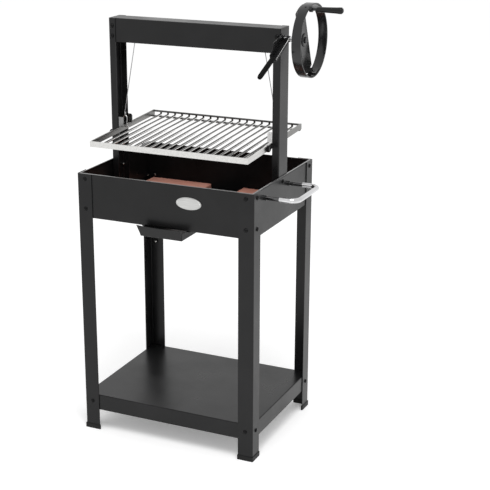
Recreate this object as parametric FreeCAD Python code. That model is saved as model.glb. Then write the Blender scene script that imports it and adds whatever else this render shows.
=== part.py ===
"""Argentine charcoal grill.

A stand of four angle legs carries a firebox.  Two channel uprights stand inside the
firebox and carry a beam.  An axle through the beam winds two cables that raise and
lower the cooking grate, and a hand wheel outside the right upright turns it.

Millimetres, +Z up, +X to the right and +Y away from the cook.  The pieces are worked
out about the middle of the four legs and then set so that the origin is the middle of
the whole object's footprint, on the floor.
"""
import FreeCAD, Part
import math
import os
from FreeCAD import Vector

# Stand, measured over the outside of the legs
stand_width = 550.0
stand_depth = 430.0
leg_top = 795.0
leg_flange = 46.0
leg_sheet = 2.5
bend_radius = 1.5

# Foot caps
cap_height = 14.0
cap_wall = 1.5
cap_floor = 4.0
cap_fit = 0.1

# Bottom shelf, a folded pan
shelf_top = 112.7
shelf_height = 48.0
shelf_sheet = 1.5
shelf_corner = 3.0
seat_gap = 0.1

# Domed bolts and hexagon nuts
bolt_radius = 3.0
bolt_head_radius = 6.0
bolt_head_height = 4.2
bolt_hole_radius = 3.2
bolt_tail = 1.0
nut_radius = 5.8
nut_height = 5.0
bolt_inset = 24.0
bolt_edge = 15.0
wall_bolt_rise = 27.0
shelf_bolt_drop = 22.7
lone_bolt_rise = 470.6
lone_bolt_inset = 22.3

# Firebox
wall_height = 130.0
wall_sheet = 2.0
wall_hem = 5.5
wall_lip = 12.0
floor_sheet = 1.5
ash_gap_width = 96.0
ash_gap_length = 280.0
ash_gap_middle = -30.0
strip_lap = 4.0
brick_thickness = 15.5
brick_set_back = 5.5
brick_side_gap = 14.0
brick_joint = 2.0
brick_edge = 1.5

# Ash tray and its runners
tray_margin = 18.0
tray_stand_out = 17.0
tray_length = 382.0
tray_depth = 20.0
tray_sheet = 1.2
tray_corner = 2.5
tray_flange = 8.0
tray_play = 0.2
lip_start = 2.0
lip_reach = 13.0
lip_height = 32.5
lip_flare = 4.0
lip_scoop = 3.0
runner_drop = 7.0
runner_sheet = 1.5
runner_end_gap = 1.5
runner_side_gap = 1.5
runner_foot_width = 9.0
runner_top_width = 14.0

# Uprights, channels whose webs face outwards
frame_top = 1210.0
upright_middle = 6.0
upright_depth = 64.0
upright_lift = 25.0
upright_flange = 21.0
upright_sheet = 2.0
upright_bolt_offset = 14.0
upright_bolt_drop = 14.0
spacer_radius = 8.0

# Top beam, an inverted channel between the uprights
beam_height = 68.0
beam_sheet = 2.0
beam_bolt_drop_high = 22.0
beam_bolt_drop_low = 51.0
beam_bolt_inset = 10.5

# Axle, bushes and cable windings
axle_drop = 31.0
axle_radius = 7.0
running_fit = 0.05
bush_radius = 10.0
bush_flange_radius = 13.0
bush_flange = 2.0
bush_stand_out = 2.0
end_ring_radius = 11.0
end_ring_width = 4.0
end_ring_play = 0.4
axle_end_stub = 3.0
winding_width = 14.0
turn_count = 5
cable_radius = 1.3
cable_play = 0.3
cable_top_inset = 68.0
cable_end_inset = 1.0

# Cooking grate, drawn level and then tipped towards the front
grate_height = 98.6
grate_side_gap = 1.0
grate_half_depth = 193.0
grate_middle = 3.0
grate_tilt_deg = 2.7
bar_height = 16.0
bar_thickness = 4.0
rod_count = 19
rod_radius = 4.0
rod_bend = 6.0
rail_radius = 3.0
cross_bar_width = 12.0
cross_bar_thickness = 3.0
cross_bar_inset = 19.0
guide_sheet = 3.0
guide_web_gap = 7.0
guide_lap = 15.0
guide_rise = 28.4
guide_drop = 44.6
guide_slip = 3.0
guide_corner = 6.0
stud_radius = 9.5
stud_length = 8.0
stud_gap = 31.0
stud_edge = 2.0

# Shackles and ferrules at the lower ends of the cables
shackle_radius = 6.0
shackle_rod = 2.0
shackle_leg = 27.0
shackle_pin_radius = 2.0
shackle_pin_hole = 2.2
shackle_pin_stub = 3.0
ferrule_radius = 3.4
ferrule_length = 11.6

# Hand wheel
hoop_radius = 100.5
hoop_thickness = 3.5
hoop_width = 26.5
spoke_sheet = 3.0
spoke_width = 56.0
spoke_set_back = 6.1
spoke_tilt_deg = 21.0
tab_width = 26.0
spoke_fit = 0.05
hub_gap = 19.5
hub_length = 14.4
hub_radius = 13.0
boss_radius = 18.0
boss_width = 3.5
wheel_nut_radius = 9.0
wheel_nut_width = 4.0
wheel_bolt_radius = 2.5
wheel_bolt_head = 4.5
wheel_bolt_head_height = 2.6
wheel_bolt_tail = 1.4
crank_angle_deg = 113.1
crank_boss_radius = 8.0
crank_boss_width = 8.0
crank_pin_radius = 4.0
knob_gap = 21.0
knob_length = 70.0
knob_root_radius = 7.0
knob_tip_radius = 8.8
knob_edge = 2.0
crank_head_radius = 6.5
crank_head_height = 3.0
knob_end_play = 0.3

# Brake drum and lever
drum_gap = 3.5
drum_width = 9.0
drum_radius = 8.5
drum_edge = 1.0
pivot_forward = 23.0
pivot_rise = 8.0
pivot_radius = 3.5
pivot_shoulder_radius = 6.5
pivot_shoulder_gap = 0.3
pivot_head_radius = 5.0
pivot_head_height = 2.0
lever_gap = 1.5
lever_width = 18.0
lever_sheet = 2.0
lever_nose = 8.0
lever_root_height = 20.0
lever_length = 97.0
lever_slope_deg = 25.0
lever_end_height = 18.0
lever_crest_run = 64.0
lever_crest_height = 35.0
lever_step_run = 74.5
lever_step_height = 23.0
lever_low_height = 6.4
shoe_thickness = 8.0
shoe_gap = 0.3
shoe_start_deg = 165.0
shoe_end_deg = 195.0
shoe_inset = 0.5
grip_radius = 7.0
grip_length = 100.0
grip_slope_deg = 22.3
grip_seat_gap = 0.25
tang_length = 8.0

# Side handle
handle_radius = 7.0
handle_wall = 1.5
handle_run = 24.5
handle_bend = 26.0
handle_leg_gap = 29.0
handle_offset = 22.0
handle_drop = 28.0
neck_length = 45.0
neck_lap = 20.0
neck_bolt_depth = 14.0
neck_base_radius = 6.8
neck_base = 8.0

# Oval plate on the front wall
badge_x = 78.5
badge_drop = 49.0
badge_half_width = 38.5
badge_half_height = 17.5
badge_sheet = 1.5
badge_crown = 0.8
rivet_radius = 2.0
rivet_height = 1.0
rivet_inset = 5.0

# Places in the stand and firebox that follow from the sizes above
half_width = stand_width / 2
half_depth = stand_depth / 2
wall_out_x = half_width - leg_sheet
wall_out_y = half_depth - leg_sheet
wall_in_x = wall_out_x - wall_sheet
wall_in_y = wall_out_y - wall_sheet
wall_bottom = leg_top - wall_height
floor_bottom = wall_bottom + wall_sheet
floor_top = floor_bottom + floor_sheet
brick_top = floor_top + brick_thickness
brick_inner = ash_gap_width / 2 + brick_set_back
brick_outer = wall_in_x - brick_side_gap
leg_bolt_high = leg_top - bolt_edge
leg_bolt_low = wall_bottom + wall_bolt_rise
shelf_bolt_z = shelf_top - shelf_bolt_drop
badge_z = leg_top - badge_drop

# Places in the ash tray
tray_half = ash_gap_width / 2 + tray_margin
tray_front = -half_depth - tray_stand_out
tray_rear = tray_front + tray_length
runner_foot_top = floor_bottom - runner_drop
runner_front = wall_lip - wall_out_y + runner_end_gap
tray_bottom = runner_foot_top - tray_depth
lip_foot = tray_bottom + lip_start

# Places in the uprights and beam
upright_web_x = wall_out_x - wall_hem
web_in_x = upright_web_x - upright_sheet
upright_foot = wall_bottom + upright_lift
upright_front = upright_middle - upright_depth / 2
upright_rear = upright_middle + upright_depth / 2
channel_front = upright_front + upright_sheet
channel_rear = upright_rear - upright_sheet
upright_bolt_y = upright_middle - upright_bolt_offset
upright_bolt_z = leg_top - upright_bolt_drop
beam_bolt_high = frame_top - beam_bolt_drop_high
beam_bolt_low = frame_top - beam_bolt_drop_low
beam_bolt_x = upright_web_x - beam_bolt_inset

# Places along the axle
axle_y = upright_middle
axle_z = frame_top - axle_drop
cable_offset = axle_radius + cable_radius + cable_play
cable_y = axle_y + cable_offset
cable_top_x = web_in_x - cable_top_inset
lever_x = upright_web_x + lever_gap
drum_x = lever_x + lever_sheet + drum_gap
hub_start_x = lever_x + lever_width + hub_gap
spoke_x = hub_start_x + hub_length
spoke_end_x = spoke_x + spoke_sheet
hoop_x = spoke_x + spoke_set_back
hoop_end_x = hoop_x + hoop_width
pivot_y = axle_y - pivot_forward
pivot_z = axle_z + pivot_rise
crank_radius = hoop_radius - hoop_thickness
knob_start_x = hoop_end_x + knob_gap
knob_end_x = knob_start_x + knob_length
crank_end_x = knob_end_x + knob_end_play + crank_head_height

# Places in the grate and at the cables' lower ends
grate_half_width = upright_web_x - upright_flange - grate_side_gap
grate_top = leg_top + grate_height
guide_outer_x = web_in_x - guide_web_gap
guide_inner_x = grate_half_width - guide_lap
guide_top = grate_top + guide_rise
guide_foot = grate_top - guide_drop
guide_front_y = channel_front + guide_slip
guide_rear_y = channel_rear - guide_slip
stud_y = upright_front - stud_gap
cable_end_x = grate_half_width - cable_end_inset
shackle_pin_y = cable_y - grate_middle
shackle_pin_z = (grate_top - bar_height / 2
                 + shackle_pin_y * math.tan(math.radians(grate_tilt_deg)))
shackle_crown_z = shackle_pin_z + shackle_leg
ferrule_end_z = shackle_crown_z + shackle_radius + ferrule_length
cable_end_z = ferrule_end_z + cable_play

# Places in the side handle
handle_z = leg_top - handle_drop
handle_rear_y = upright_middle + handle_offset
handle_front_y = leg_flange + handle_leg_gap - half_depth
handle_start_x = wall_out_x + neck_length
handle_bend_x = handle_start_x + handle_run
handle_reach = handle_bend_x + handle_bend

# Middle of the whole object's footprint
bolt_reach_x = half_width + bolt_head_height
bolt_reach_y = half_depth + bolt_head_height
origin_x = (crank_end_x - bolt_reach_x) / 2
origin_y = (bolt_reach_y + tray_front - lip_reach) / 2

X = Vector(1, 0, 0)
Y = Vector(0, 1, 0)
Z = Vector(0, 0, 1)
SIDES = {"left": -1, "right": 1}
ENDS = {"front": -1, "rear": 1}


def box(x_span, y_span, z_span):
    """A block from its low and high place along each axis, in either order."""
    low = Vector(min(x_span), min(y_span), min(z_span))
    high = Vector(max(x_span), max(y_span), max(z_span))
    size = high - low
    return Part.makeBox(size.x, size.y, size.z, low)


def rod(radius, start, end):
    """A round bar from one point to another."""
    run = end - start
    return Part.makeCylinder(radius, run.Length, start, run)


def tube(inner, outer, start, end):
    """A sleeve from one point to another."""
    return rod(outer, start, end).cut(rod(inner, start, end))


def in_plane(plane, point, height):
    """A flat drawing's point, set in space at a height above its plane."""
    if plane == "XY":
        return Vector(point.x, point.y, height)
    if plane == "YZ":
        return Vector(height, point.x, point.y)
    return Vector(point.x, height, point.y)


def rounded_path(points, radii, place):
    """Edges along a flat path, with a tangent arc of each radius at its inner corners."""
    edges = []
    start = points[0]
    for before, corner, after, radius in zip(points, points[1:], points[2:], radii):
        came = (corner - before).normalize()
        goes = (after - corner).normalize()
        turn = math.acos(max(-1, min(1, came.dot(goes))))
        reach = radius * math.tan(turn / 2)
        inward = (goes - came).normalize()
        centre = corner + inward * (radius / math.cos(turn / 2))
        first = corner - came * reach
        last = corner + goes * reach
        middle = centre - inward * radius
        edges.append(Part.LineSegment(place(start), place(first)).toShape())
        edges.append(Part.Arc(place(first), place(middle), place(last)).toShape())
        start = last
    edges.append(Part.LineSegment(place(start), place(points[-1])).toShape())
    return edges


def folded_sheet(plane, points, thickness, span):
    """Bent sheet of one thickness: its outer line has the metal on its left."""
    line = [Vector(u, v, 0) for u, v in points]
    runs = [(b - a).normalize() for a, b in zip(line, line[1:])]
    lefts = [Vector(-run.y, run.x, 0) for run in runs]
    inner = [line[0] + lefts[0] * thickness]
    for corner, one, two in zip(line[1:-1], lefts, lefts[1:]):
        inner.append(corner + (one + two) * (thickness / (1 + one.dot(two))))
    inner.append(line[-1] + lefts[-1] * thickness)
    turns = [one.cross(two).z for one, two in zip(runs, runs[1:])]
    wide = bend_radius + thickness
    line_radii = [wide if turn > 0 else bend_radius for turn in turns]
    inner_radii = [bend_radius if turn > 0 else wide for turn in turns]

    def place(point):
        return in_plane(plane, point, span[0])

    edges = rounded_path(line, line_radii, place)
    edges.append(Part.LineSegment(place(line[-1]), place(inner[-1])).toShape())
    edges += rounded_path(inner[::-1], inner_radii[::-1], place)
    edges.append(Part.LineSegment(place(inner[0]), place(line[0])).toShape())
    face = Part.Face(Part.Wire(Part.__sortEdges__(edges)))
    return face.extrude(in_plane(plane, Vector(0, 0, 0), span[1] - span[0]))


def turned(profile, base, axis):
    """A turned piece: (radius, height) corners swept round an axis from its base."""
    corners = [Vector(radius, 0, height) for radius, height in profile]
    wire = Part.makePolygon(corners + corners[:1])
    solid = Part.Face(wire).revolve(Vector(0, 0, 0), Z, 360)
    return set_on(solid, base, axis)


def set_on(solid, base, axis):
    """Turn a piece drawn along +Z to another axis and move its foot to the base."""
    solid.Placement = FreeCAD.Placement(base, FreeCAD.Rotation(Z, axis))
    return solid


def domed_bolt(face, outward, length, radius=bolt_radius, head=bolt_head_radius,
               height=bolt_head_height):
    """A domed head that seats on a face, with its shank going in for a length."""
    sphere = (head * head + height * height) / (2 * height)
    half_angle = math.asin(head / sphere) / 2
    shoulder = Vector(sphere * math.sin(half_angle), 0,
                      height - sphere + sphere * math.cos(half_angle))
    crown = Part.Arc(Vector(head, 0, 0), shoulder, Vector(0, 0, height)).toShape()
    corners = [Vector(0, 0, height), Vector(0, 0, -length), Vector(radius, 0, -length),
               Vector(radius, 0, 0), Vector(head, 0, 0)]
    lines = [Part.LineSegment(a, b).toShape() for a, b in zip(corners, corners[1:])]
    face_shape = Part.Face(Part.Wire([crown] + lines))
    solid = face_shape.revolve(Vector(0, 0, 0), Z, 360)
    return set_on(solid, face, outward)


def hex_nut(face, outward):
    """A hexagon nut that seats on a face and stands out from it."""
    corners = [Vector(nut_radius * math.cos(math.radians(60 * k)),
                      nut_radius * math.sin(math.radians(60 * k)), 0) for k in range(6)]
    prism = Part.Face(Part.makePolygon(corners + corners[:1])).extrude(Z * nut_height)
    bore = Part.makeCylinder(bolt_radius + running_fit, nut_height)
    return set_on(prism.cut(bore), face, outward)


def drill(solid, radius, places):
    """Cut round holes: each place is a start point and an end point."""
    for start, end in places:
        solid = solid.cut(rod(radius, start, end))
    return solid


def mirrored(solid, side):
    """The same piece on the other side of the grill's middle plane."""
    return solid if side > 0 else solid.mirror(Vector(0, 0, 0), X)


def leg_bolt_places():
    """Every bolt through a leg: its point on the leg's face and its outward axis."""
    places = []
    for side in SIDES.values():
        for end in ENDS.values():
            for height in (leg_bolt_high, leg_bolt_low, shelf_bolt_z):
                places.append((Vector(side * (half_width - bolt_inset), end * half_depth,
                                      height), Y * end))
                places.append((Vector(side * half_width, end * (half_depth - bolt_inset),
                                      height), X * side))
    return places


def lone_bolt_place():
    """The single bolt half way up the rear left leg."""
    return Vector(lone_bolt_inset - half_width, half_depth, lone_bolt_rise)


def leg_holes():
    """Bores for the leg bolts, through the leg and what it carries."""
    depth = leg_sheet + wall_sheet + bend_radius
    return [(point + axis * bend_radius, point - axis * depth)
            for point, axis in leg_bolt_places() + [(lone_bolt_place(), Y)]]


def angle_leg(side, end):
    """An angle of folded sheet with its bend at the stand's corner."""
    outline = [(-half_width, -half_depth + leg_flange), (-half_width, -half_depth),
               (-half_width + leg_flange, -half_depth)]
    leg = folded_sheet("XY", outline, leg_sheet, (cap_floor, leg_top))
    if side > 0:
        leg = leg.mirror(Vector(0, 0, 0), X)
    if end > 0:
        leg = leg.mirror(Vector(0, 0, 0), Y)
    return drill(leg, bolt_hole_radius, leg_holes())


def foot_cap(side, end):
    """A moulded shoe that the leg's lower end stands in."""
    out_x = half_width + cap_wall
    out_y = half_depth + cap_wall
    far_x = half_width - leg_flange - cap_wall
    far_y = half_depth - leg_flange - cap_wall
    in_x = half_width - leg_sheet - cap_wall
    in_y = half_depth - leg_sheet - cap_wall
    block = box((far_x, out_x), (far_y, out_y), (0, cap_height))
    rounded = block.makeFillet(cap_wall, upright_edges(block, out_x, out_y))
    inside = box((far_x - cap_wall, in_x), (far_y - cap_wall, in_y),
                 (-cap_wall, cap_height + cap_wall))
    pocket = [(half_width + cap_fit, half_depth - leg_flange - cap_fit),
              (half_width + cap_fit, half_depth + cap_fit),
              (half_width - leg_flange - cap_fit, half_depth + cap_fit)]
    slot = folded_sheet("XY", pocket, leg_sheet + cap_fit * 2,
                        (cap_floor, cap_height + cap_wall))
    cap = rounded.cut(inside).cut(slot)
    if side < 0:
        cap = cap.mirror(Vector(0, 0, 0), X)
    if end < 0:
        cap = cap.mirror(Vector(0, 0, 0), Y)
    return cap


def upright_edges(solid, x, y):
    """The upright edge of a block that stands at a place in plan."""
    found = []
    for edge in solid.Edges:
        middle = edge.CenterOfMass
        if abs(middle.x - x) < seat_gap and abs(middle.y - y) < seat_gap:
            found.append(edge)
    return found


def rounded_block(x_span, y_span, z_span, radius, flat_high):
    """A block with rounded upright edges and one rounded rim, the low or the high one."""
    block = box(x_span, y_span, z_span)
    rim = min(z_span) if flat_high else max(z_span)
    middle = (min(z_span) + max(z_span)) / 2
    edges = [edge for edge in block.Edges
             if abs(edge.CenterOfMass.z - rim) < seat_gap
             or abs(edge.CenterOfMass.z - middle) < seat_gap]
    return block.makeFillet(radius, edges)


def bottom_shelf():
    """A pan folded down on four sides, between the legs."""
    reach_x = half_width - leg_sheet
    reach_y = half_depth - leg_sheet
    inner = shelf_corner - shelf_sheet
    outer = rounded_block((-reach_x, reach_x), (-reach_y, reach_y),
                          (shelf_top - shelf_height, shelf_top), shelf_corner, False)
    hollow = rounded_block((-reach_x + shelf_sheet, reach_x - shelf_sheet),
                           (-reach_y + shelf_sheet, reach_y - shelf_sheet),
                           (shelf_top - shelf_height - shelf_height, shelf_top - shelf_sheet),
                           inner, False)
    return drill(outer.cut(hollow), bolt_hole_radius, leg_holes())


def end_wall(end):
    """The front or rear wall, with a hem at its top and a lip for the floor."""
    reach = wall_out_x - bend_radius
    outline = [(-wall_out_y + wall_hem, leg_top), (-wall_out_y, leg_top),
               (-wall_out_y, wall_bottom), (-wall_out_y + wall_lip, wall_bottom)]
    wall = folded_sheet("YZ", outline, wall_sheet, (-reach, reach))
    for side in SIDES.values():
        wall = wall.cut(box((side * (wall_in_x - seat_gap), side * half_width),
                            (-wall_in_y, 0), (0, leg_top + leg_top)))
    if end > 0:
        wall = wall.mirror(Vector(0, 0, 0), Y)
    return drill(wall, bolt_hole_radius, leg_holes())


def side_wall(side):
    """The left or right wall between the end walls, with the same hem and lip."""
    reach = wall_in_y - seat_gap
    lip_reach_y = wall_out_y - wall_lip - seat_gap
    outline = [(wall_out_x - wall_lip, wall_bottom), (wall_out_x, wall_bottom),
               (wall_out_x, leg_top), (wall_out_x - wall_hem, leg_top)]
    wall = folded_sheet("XZ", outline, wall_sheet, (-reach, reach))
    hem_reach_y = wall_out_y - wall_hem - seat_gap
    for end in ENDS.values():
        corner_low = box((0, wall_in_x), (end * lip_reach_y, end * half_depth),
                         (0, floor_bottom + bend_radius))
        corner_high = box((0, wall_in_x), (end * hem_reach_y, end * half_depth),
                          (leg_top - wall_sheet - bend_radius, leg_top + leg_top))
        wall = wall.cut(corner_low).cut(corner_high)
    wall = mirrored(wall, side)
    wall = drill(wall, bolt_hole_radius, leg_holes())
    return drill(wall, bolt_hole_radius, side_holes(side))


def side_bolt_places():
    """Where bolts pass through a side wall and its upright: (y, z) of each."""
    return [(upright_bolt_y, upright_bolt_z), (handle_rear_y, handle_z)]


def side_holes(side):
    """Bores through a side wall for its upright's bolts and the handle's necks."""
    places = side_bolt_places()
    if side > 0:
        places = places + [(handle_front_y, handle_z)]
    return [(Vector(side * half_width, y, z), Vector(side * web_in_x - side * bend_radius, y, z))
            for y, z in places]


def firebox_floor():
    """Two sheets on the walls' lips, and two strips over them at the ash opening's ends."""
    reach_x = wall_in_x - bend_radius
    reach_y = wall_in_y - bend_radius
    edge = ash_gap_width / 2
    lap = edge + strip_lap
    sheets = [box((side * edge, side * reach_x), (-reach_y, reach_y), (floor_bottom, floor_top))
              for side in SIDES.values()]
    strips = [box((-lap, lap), (end * reach_y, ash_gap_middle + end * ash_gap_length / 2),
                  (floor_top, floor_top + floor_sheet)) for end in ENDS.values()]
    return Part.makeCompound(sheets + strips)


def firebrick(side, end):
    """A terracotta slab with softened edges, on the floor beside the ash opening."""
    far_y = wall_in_y - brick_joint
    near_y = brick_joint / 2
    block = box((brick_inner, brick_outer), (near_y, far_y), (floor_top, brick_top))
    top_edges = [edge for edge in block.Edges
                 if abs(edge.CenterOfMass.z - brick_top) < seat_gap]
    block = block.makeChamfer(brick_edge, top_edges)
    if end < 0:
        block = block.mirror(Vector(0, 0, 0), Y)
    return mirrored(block, side)


def ash_tray():
    """An open pan with side flanges on the runners and a flared lip to pull it by."""
    half = tray_half
    flange_bottom = runner_foot_top + tray_play
    top = flange_bottom + tray_sheet
    outer = rounded_block((-half, half), (tray_front, tray_rear), (tray_bottom, top),
                          tray_corner, True)
    hollow = rounded_block((-half + tray_sheet, half - tray_sheet),
                           (tray_front + tray_sheet, tray_rear - tray_sheet),
                           (tray_bottom + tray_sheet, top + tray_sheet),
                           tray_corner - tray_sheet, True)
    tray = outer.cut(hollow)
    for side in SIDES.values():
        flange = box((side * (half - tray_sheet), side * (half + tray_flange)),
                     (runner_front, tray_rear - tray_corner), (flange_bottom, top))
        tray = tray.fuse(flange)
    return tray.fuse(pull_lip()).removeSplitter()


def pull_lip():
    """The tray's front lip: a sheet that flares forwards, wide and scooped at its top."""
    run = math.hypot(lip_reach, lip_height)
    lean = Vector(0, -lip_reach, lip_height).normalize()
    foot = Vector(0, tray_front, lip_foot)
    low = tray_half - tray_corner
    high = tray_half + lip_flare
    corners = [foot - X * low, foot + X * low, foot + X * high + lean * run,
               foot - X * high + lean * run]
    scoop = Part.Arc(corners[2], foot + lean * (run - lip_scoop), corners[3]).toShape()
    sides = [Part.LineSegment(a, b).toShape()
             for a, b in ((corners[3], corners[0]), (corners[0], corners[1]),
                          (corners[1], corners[2]))]
    thickness = X.cross(lean) * tray_sheet
    return Part.Face(Part.Wire(sides + [scoop])).extrude(-thickness)


def tray_runner(side):
    """A folded rail under the floor: its foot carries the tray's side flange."""
    web = tray_half + tray_flange + runner_side_gap
    foot_bottom = runner_foot_top - runner_sheet
    outline = [(web - runner_foot_width, foot_bottom), (web + runner_sheet, foot_bottom),
               (web + runner_sheet, floor_bottom - runner_sheet),
               (web + runner_top_width, floor_bottom - runner_sheet)]
    rail = folded_sheet("XZ", outline, runner_sheet, (runner_front, tray_rear))
    return mirrored(rail, side)


def upright(side):
    """A channel from the firebox floor to the beam's top, its web against the wall."""
    outline = [(upright_web_x - upright_flange, upright_front), (upright_web_x, upright_front),
               (upright_web_x, upright_rear), (upright_web_x - upright_flange, upright_rear)]
    channel = folded_sheet("XY", outline, upright_sheet, (upright_foot, frame_top))
    channel = mirrored(channel, side)
    channel = drill(channel, bolt_hole_radius, side_holes(side))
    axle = [(Vector(side * half_width, axle_y, axle_z), Vector(0, axle_y, axle_z))]
    channel = drill(channel, bush_radius + running_fit, axle)
    if side > 0:
        pivot = [(Vector(half_width, pivot_y, pivot_z), Vector(0, pivot_y, pivot_z))]
        channel = drill(channel, pivot_radius + running_fit, pivot)
    return drill(channel, bolt_hole_radius, beam_holes())


def beam_bolt_places():
    """Every bolt through an upright's flange and the beam: its point and outward axis."""
    return [(Vector(side * beam_bolt_x, upright_front if end < 0 else upright_rear, height),
             Y * end)
            for side in SIDES.values() for end in ENDS.values()
            for height in (beam_bolt_low, beam_bolt_high)]


def beam_holes():
    """Bores for the beam bolts."""
    depth = upright_sheet + beam_sheet + bend_radius
    return [(point + axis * bend_radius, point - axis * depth)
            for point, axis in beam_bolt_places()]


def top_beam():
    """An inverted channel that fits between the uprights' webs and flanges."""
    reach = web_in_x - bend_radius
    bottom = frame_top - beam_height
    outline = [(channel_rear, bottom), (channel_rear, frame_top), (channel_front, frame_top),
               (channel_front, bottom)]
    beam = folded_sheet("YZ", outline, beam_sheet, (-reach, reach))
    return drill(beam, bolt_hole_radius, beam_holes())


def on_axle(x):
    """A point on the axle's line."""
    return Vector(x, axle_y, axle_z)


def axle_bush(side):
    """A flanged bush that fills the hole in an upright's web and carries the axle."""
    start = web_in_x - bush_flange
    end = upright_web_x + bush_stand_out
    bore = axle_radius + running_fit
    profile = [(bore, 0), (bush_flange_radius, 0), (bush_flange_radius, bush_flange),
               (bush_radius, bush_flange), (bush_radius, end - start), (bore, end - start)]
    return mirrored(turned(profile, on_axle(start), X), side)


def winch_axle():
    """The round shaft from the left retaining ring to the wheel's end nut."""
    left = -(upright_web_x + bush_stand_out + end_ring_play + end_ring_width + axle_end_stub)
    right = spoke_end_x + boss_width + wheel_nut_width
    return rod(axle_radius, on_axle(left), on_axle(right))


def axle_end_ring():
    """The ring that keeps the axle from sliding to the right."""
    inner = -(upright_web_x + bush_stand_out + end_ring_play)
    return tube(axle_radius + running_fit, end_ring_radius, on_axle(inner - end_ring_width),
                on_axle(inner))


def cable_winding(side):
    """The cable's turns on the axle, beside the place where it leaves."""
    outer = cable_top_x - cable_radius - cable_play
    pitch = winding_width / turn_count
    root = axle_radius + cable_radius
    profile = [(axle_radius + running_fit, 0)]
    for turn in range(turn_count):
        profile.append((root, turn * pitch))
        profile.append((axle_radius + cable_radius * 2, (turn + 1 / 2) * pitch))
    profile += [(root, winding_width), (axle_radius + running_fit, winding_width)]
    return mirrored(turned(profile, on_axle(outer - winding_width), X), side)


def lift_cable(side):
    """The straight run of cable from the axle to its ferrule."""
    top = Vector(cable_top_x, cable_y, axle_z)
    end = Vector(cable_end_x, cable_y, cable_end_z)
    return mirrored(rod(cable_radius, top, end), side)


def grate_place(solid):
    """Tip a level piece of the grate and set it at its height."""
    tilt = FreeCAD.Rotation(X, grate_tilt_deg)
    place = FreeCAD.Placement(Vector(0, grate_middle, grate_top), tilt)
    solid.Placement = place.multiply(solid.Placement)
    return solid


def grate_line_z(y):
    """Height of the tipped frame's top above a place on the ground."""
    return grate_top + (y - grate_middle) * math.tan(math.radians(grate_tilt_deg))


def grate_frame():
    """Standing flat bars on three sides, with the shackles' pin holes."""
    half = grate_half_width
    inner = half - bar_thickness
    depth = grate_half_depth
    ring = box((-half, half), (-depth, depth), (-bar_height, 0))
    open_side = box((-inner, inner), (-depth + bar_thickness, depth + bar_thickness),
                    (-bar_height - bar_height, bar_height))
    frame = grate_place(ring.cut(open_side))
    return drill(frame, shackle_pin_hole,
                 [(Vector(-half - half, cable_y, shackle_pin_z),
                   Vector(half + half, cable_y, shackle_pin_z))])


def rod_pitch():
    """Spacing of the rods, with the same space between the outer ones and the frame."""
    return (grate_half_width - bar_thickness) * 2 / (rod_count + 1)


def grate_rods():
    """Round rods from the front bar, each turned up at the rear to meet the rail."""
    rods = []
    first = -(grate_half_width - bar_thickness)
    low = rod_radius - bar_height
    front = bar_thickness - grate_half_depth
    rail_y = grate_half_depth - rail_radius
    bend_y = rail_y - rod_bend
    up = low + rod_bend
    for k in range(rod_count):
        x = first + rod_pitch() * (k + 1)
        straight = rod(rod_radius, Vector(x, front, low), Vector(x, bend_y, low))
        circle = Part.Face(Part.Wire(Part.makeCircle(rod_radius, Vector(x, bend_y, low), Y)))
        corner = circle.revolve(Vector(x, bend_y, up), X, 90)
        pieces = straight.fuse(corner)
        post_top = -rail_radius - rail_radius
        if post_top > up:
            pieces = pieces.fuse(rod(rod_radius, Vector(x, rail_y, up),
                                     Vector(x, rail_y, post_top)))
        rods.append(grate_place(pieces.removeSplitter()))
    return Part.makeCompound(rods)


def grate_rear_rail():
    """The round rail across the turned-up rods, between the side bars."""
    inner = grate_half_width - bar_thickness
    y = grate_half_depth - rail_radius
    return grate_place(rod(rail_radius, Vector(-inner, y, -rail_radius),
                           Vector(inner, y, -rail_radius)))


def grate_cross_bar():
    """The flat bar under the rods and side bars near the rear."""
    rear = grate_half_depth - cross_bar_inset
    return grate_place(box((-grate_half_width, grate_half_width), (rear - cross_bar_width, rear),
                           (-bar_height - cross_bar_thickness, -bar_height)))


def guide_plates(side):
    """Two upright plates over a side bar that slide between the channel's flanges."""
    plates = []
    for y in (guide_front_y, guide_rear_y):
        span = (y - guide_sheet / 2, y + guide_sheet / 2)
        seat = grate_line_z(span[1]) + seat_gap
        upper = box((guide_inner_x, guide_outer_x), span, (seat, guide_top))
        lower = box((grate_half_width + seat_gap, guide_outer_x), span, (guide_foot, seat))
        plate = upper.fuse(lower).removeSplitter()
        corners = [edge for edge in plate.Edges
                   if abs(edge.CenterOfMass.y - y) < seat_gap
                   and abs(edge.CenterOfMass.z - guide_top) < seat_gap]
        plate = plate.makeFillet(guide_corner, corners)
        plates.append(mirrored(plate, side))
    return Part.makeCompound(plates)


def grate_stud(side):
    """A round-headed stud on the outside of a side bar."""
    z = -bar_height / 2
    profile = [(0, 0), (stud_radius, 0), (stud_radius, stud_length - stud_edge),
               (stud_radius - stud_edge, stud_length), (0, stud_length)]
    base = Vector(grate_half_width * side, stud_y - grate_middle, z)
    return grate_place(turned(profile, base, X * side))


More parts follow.
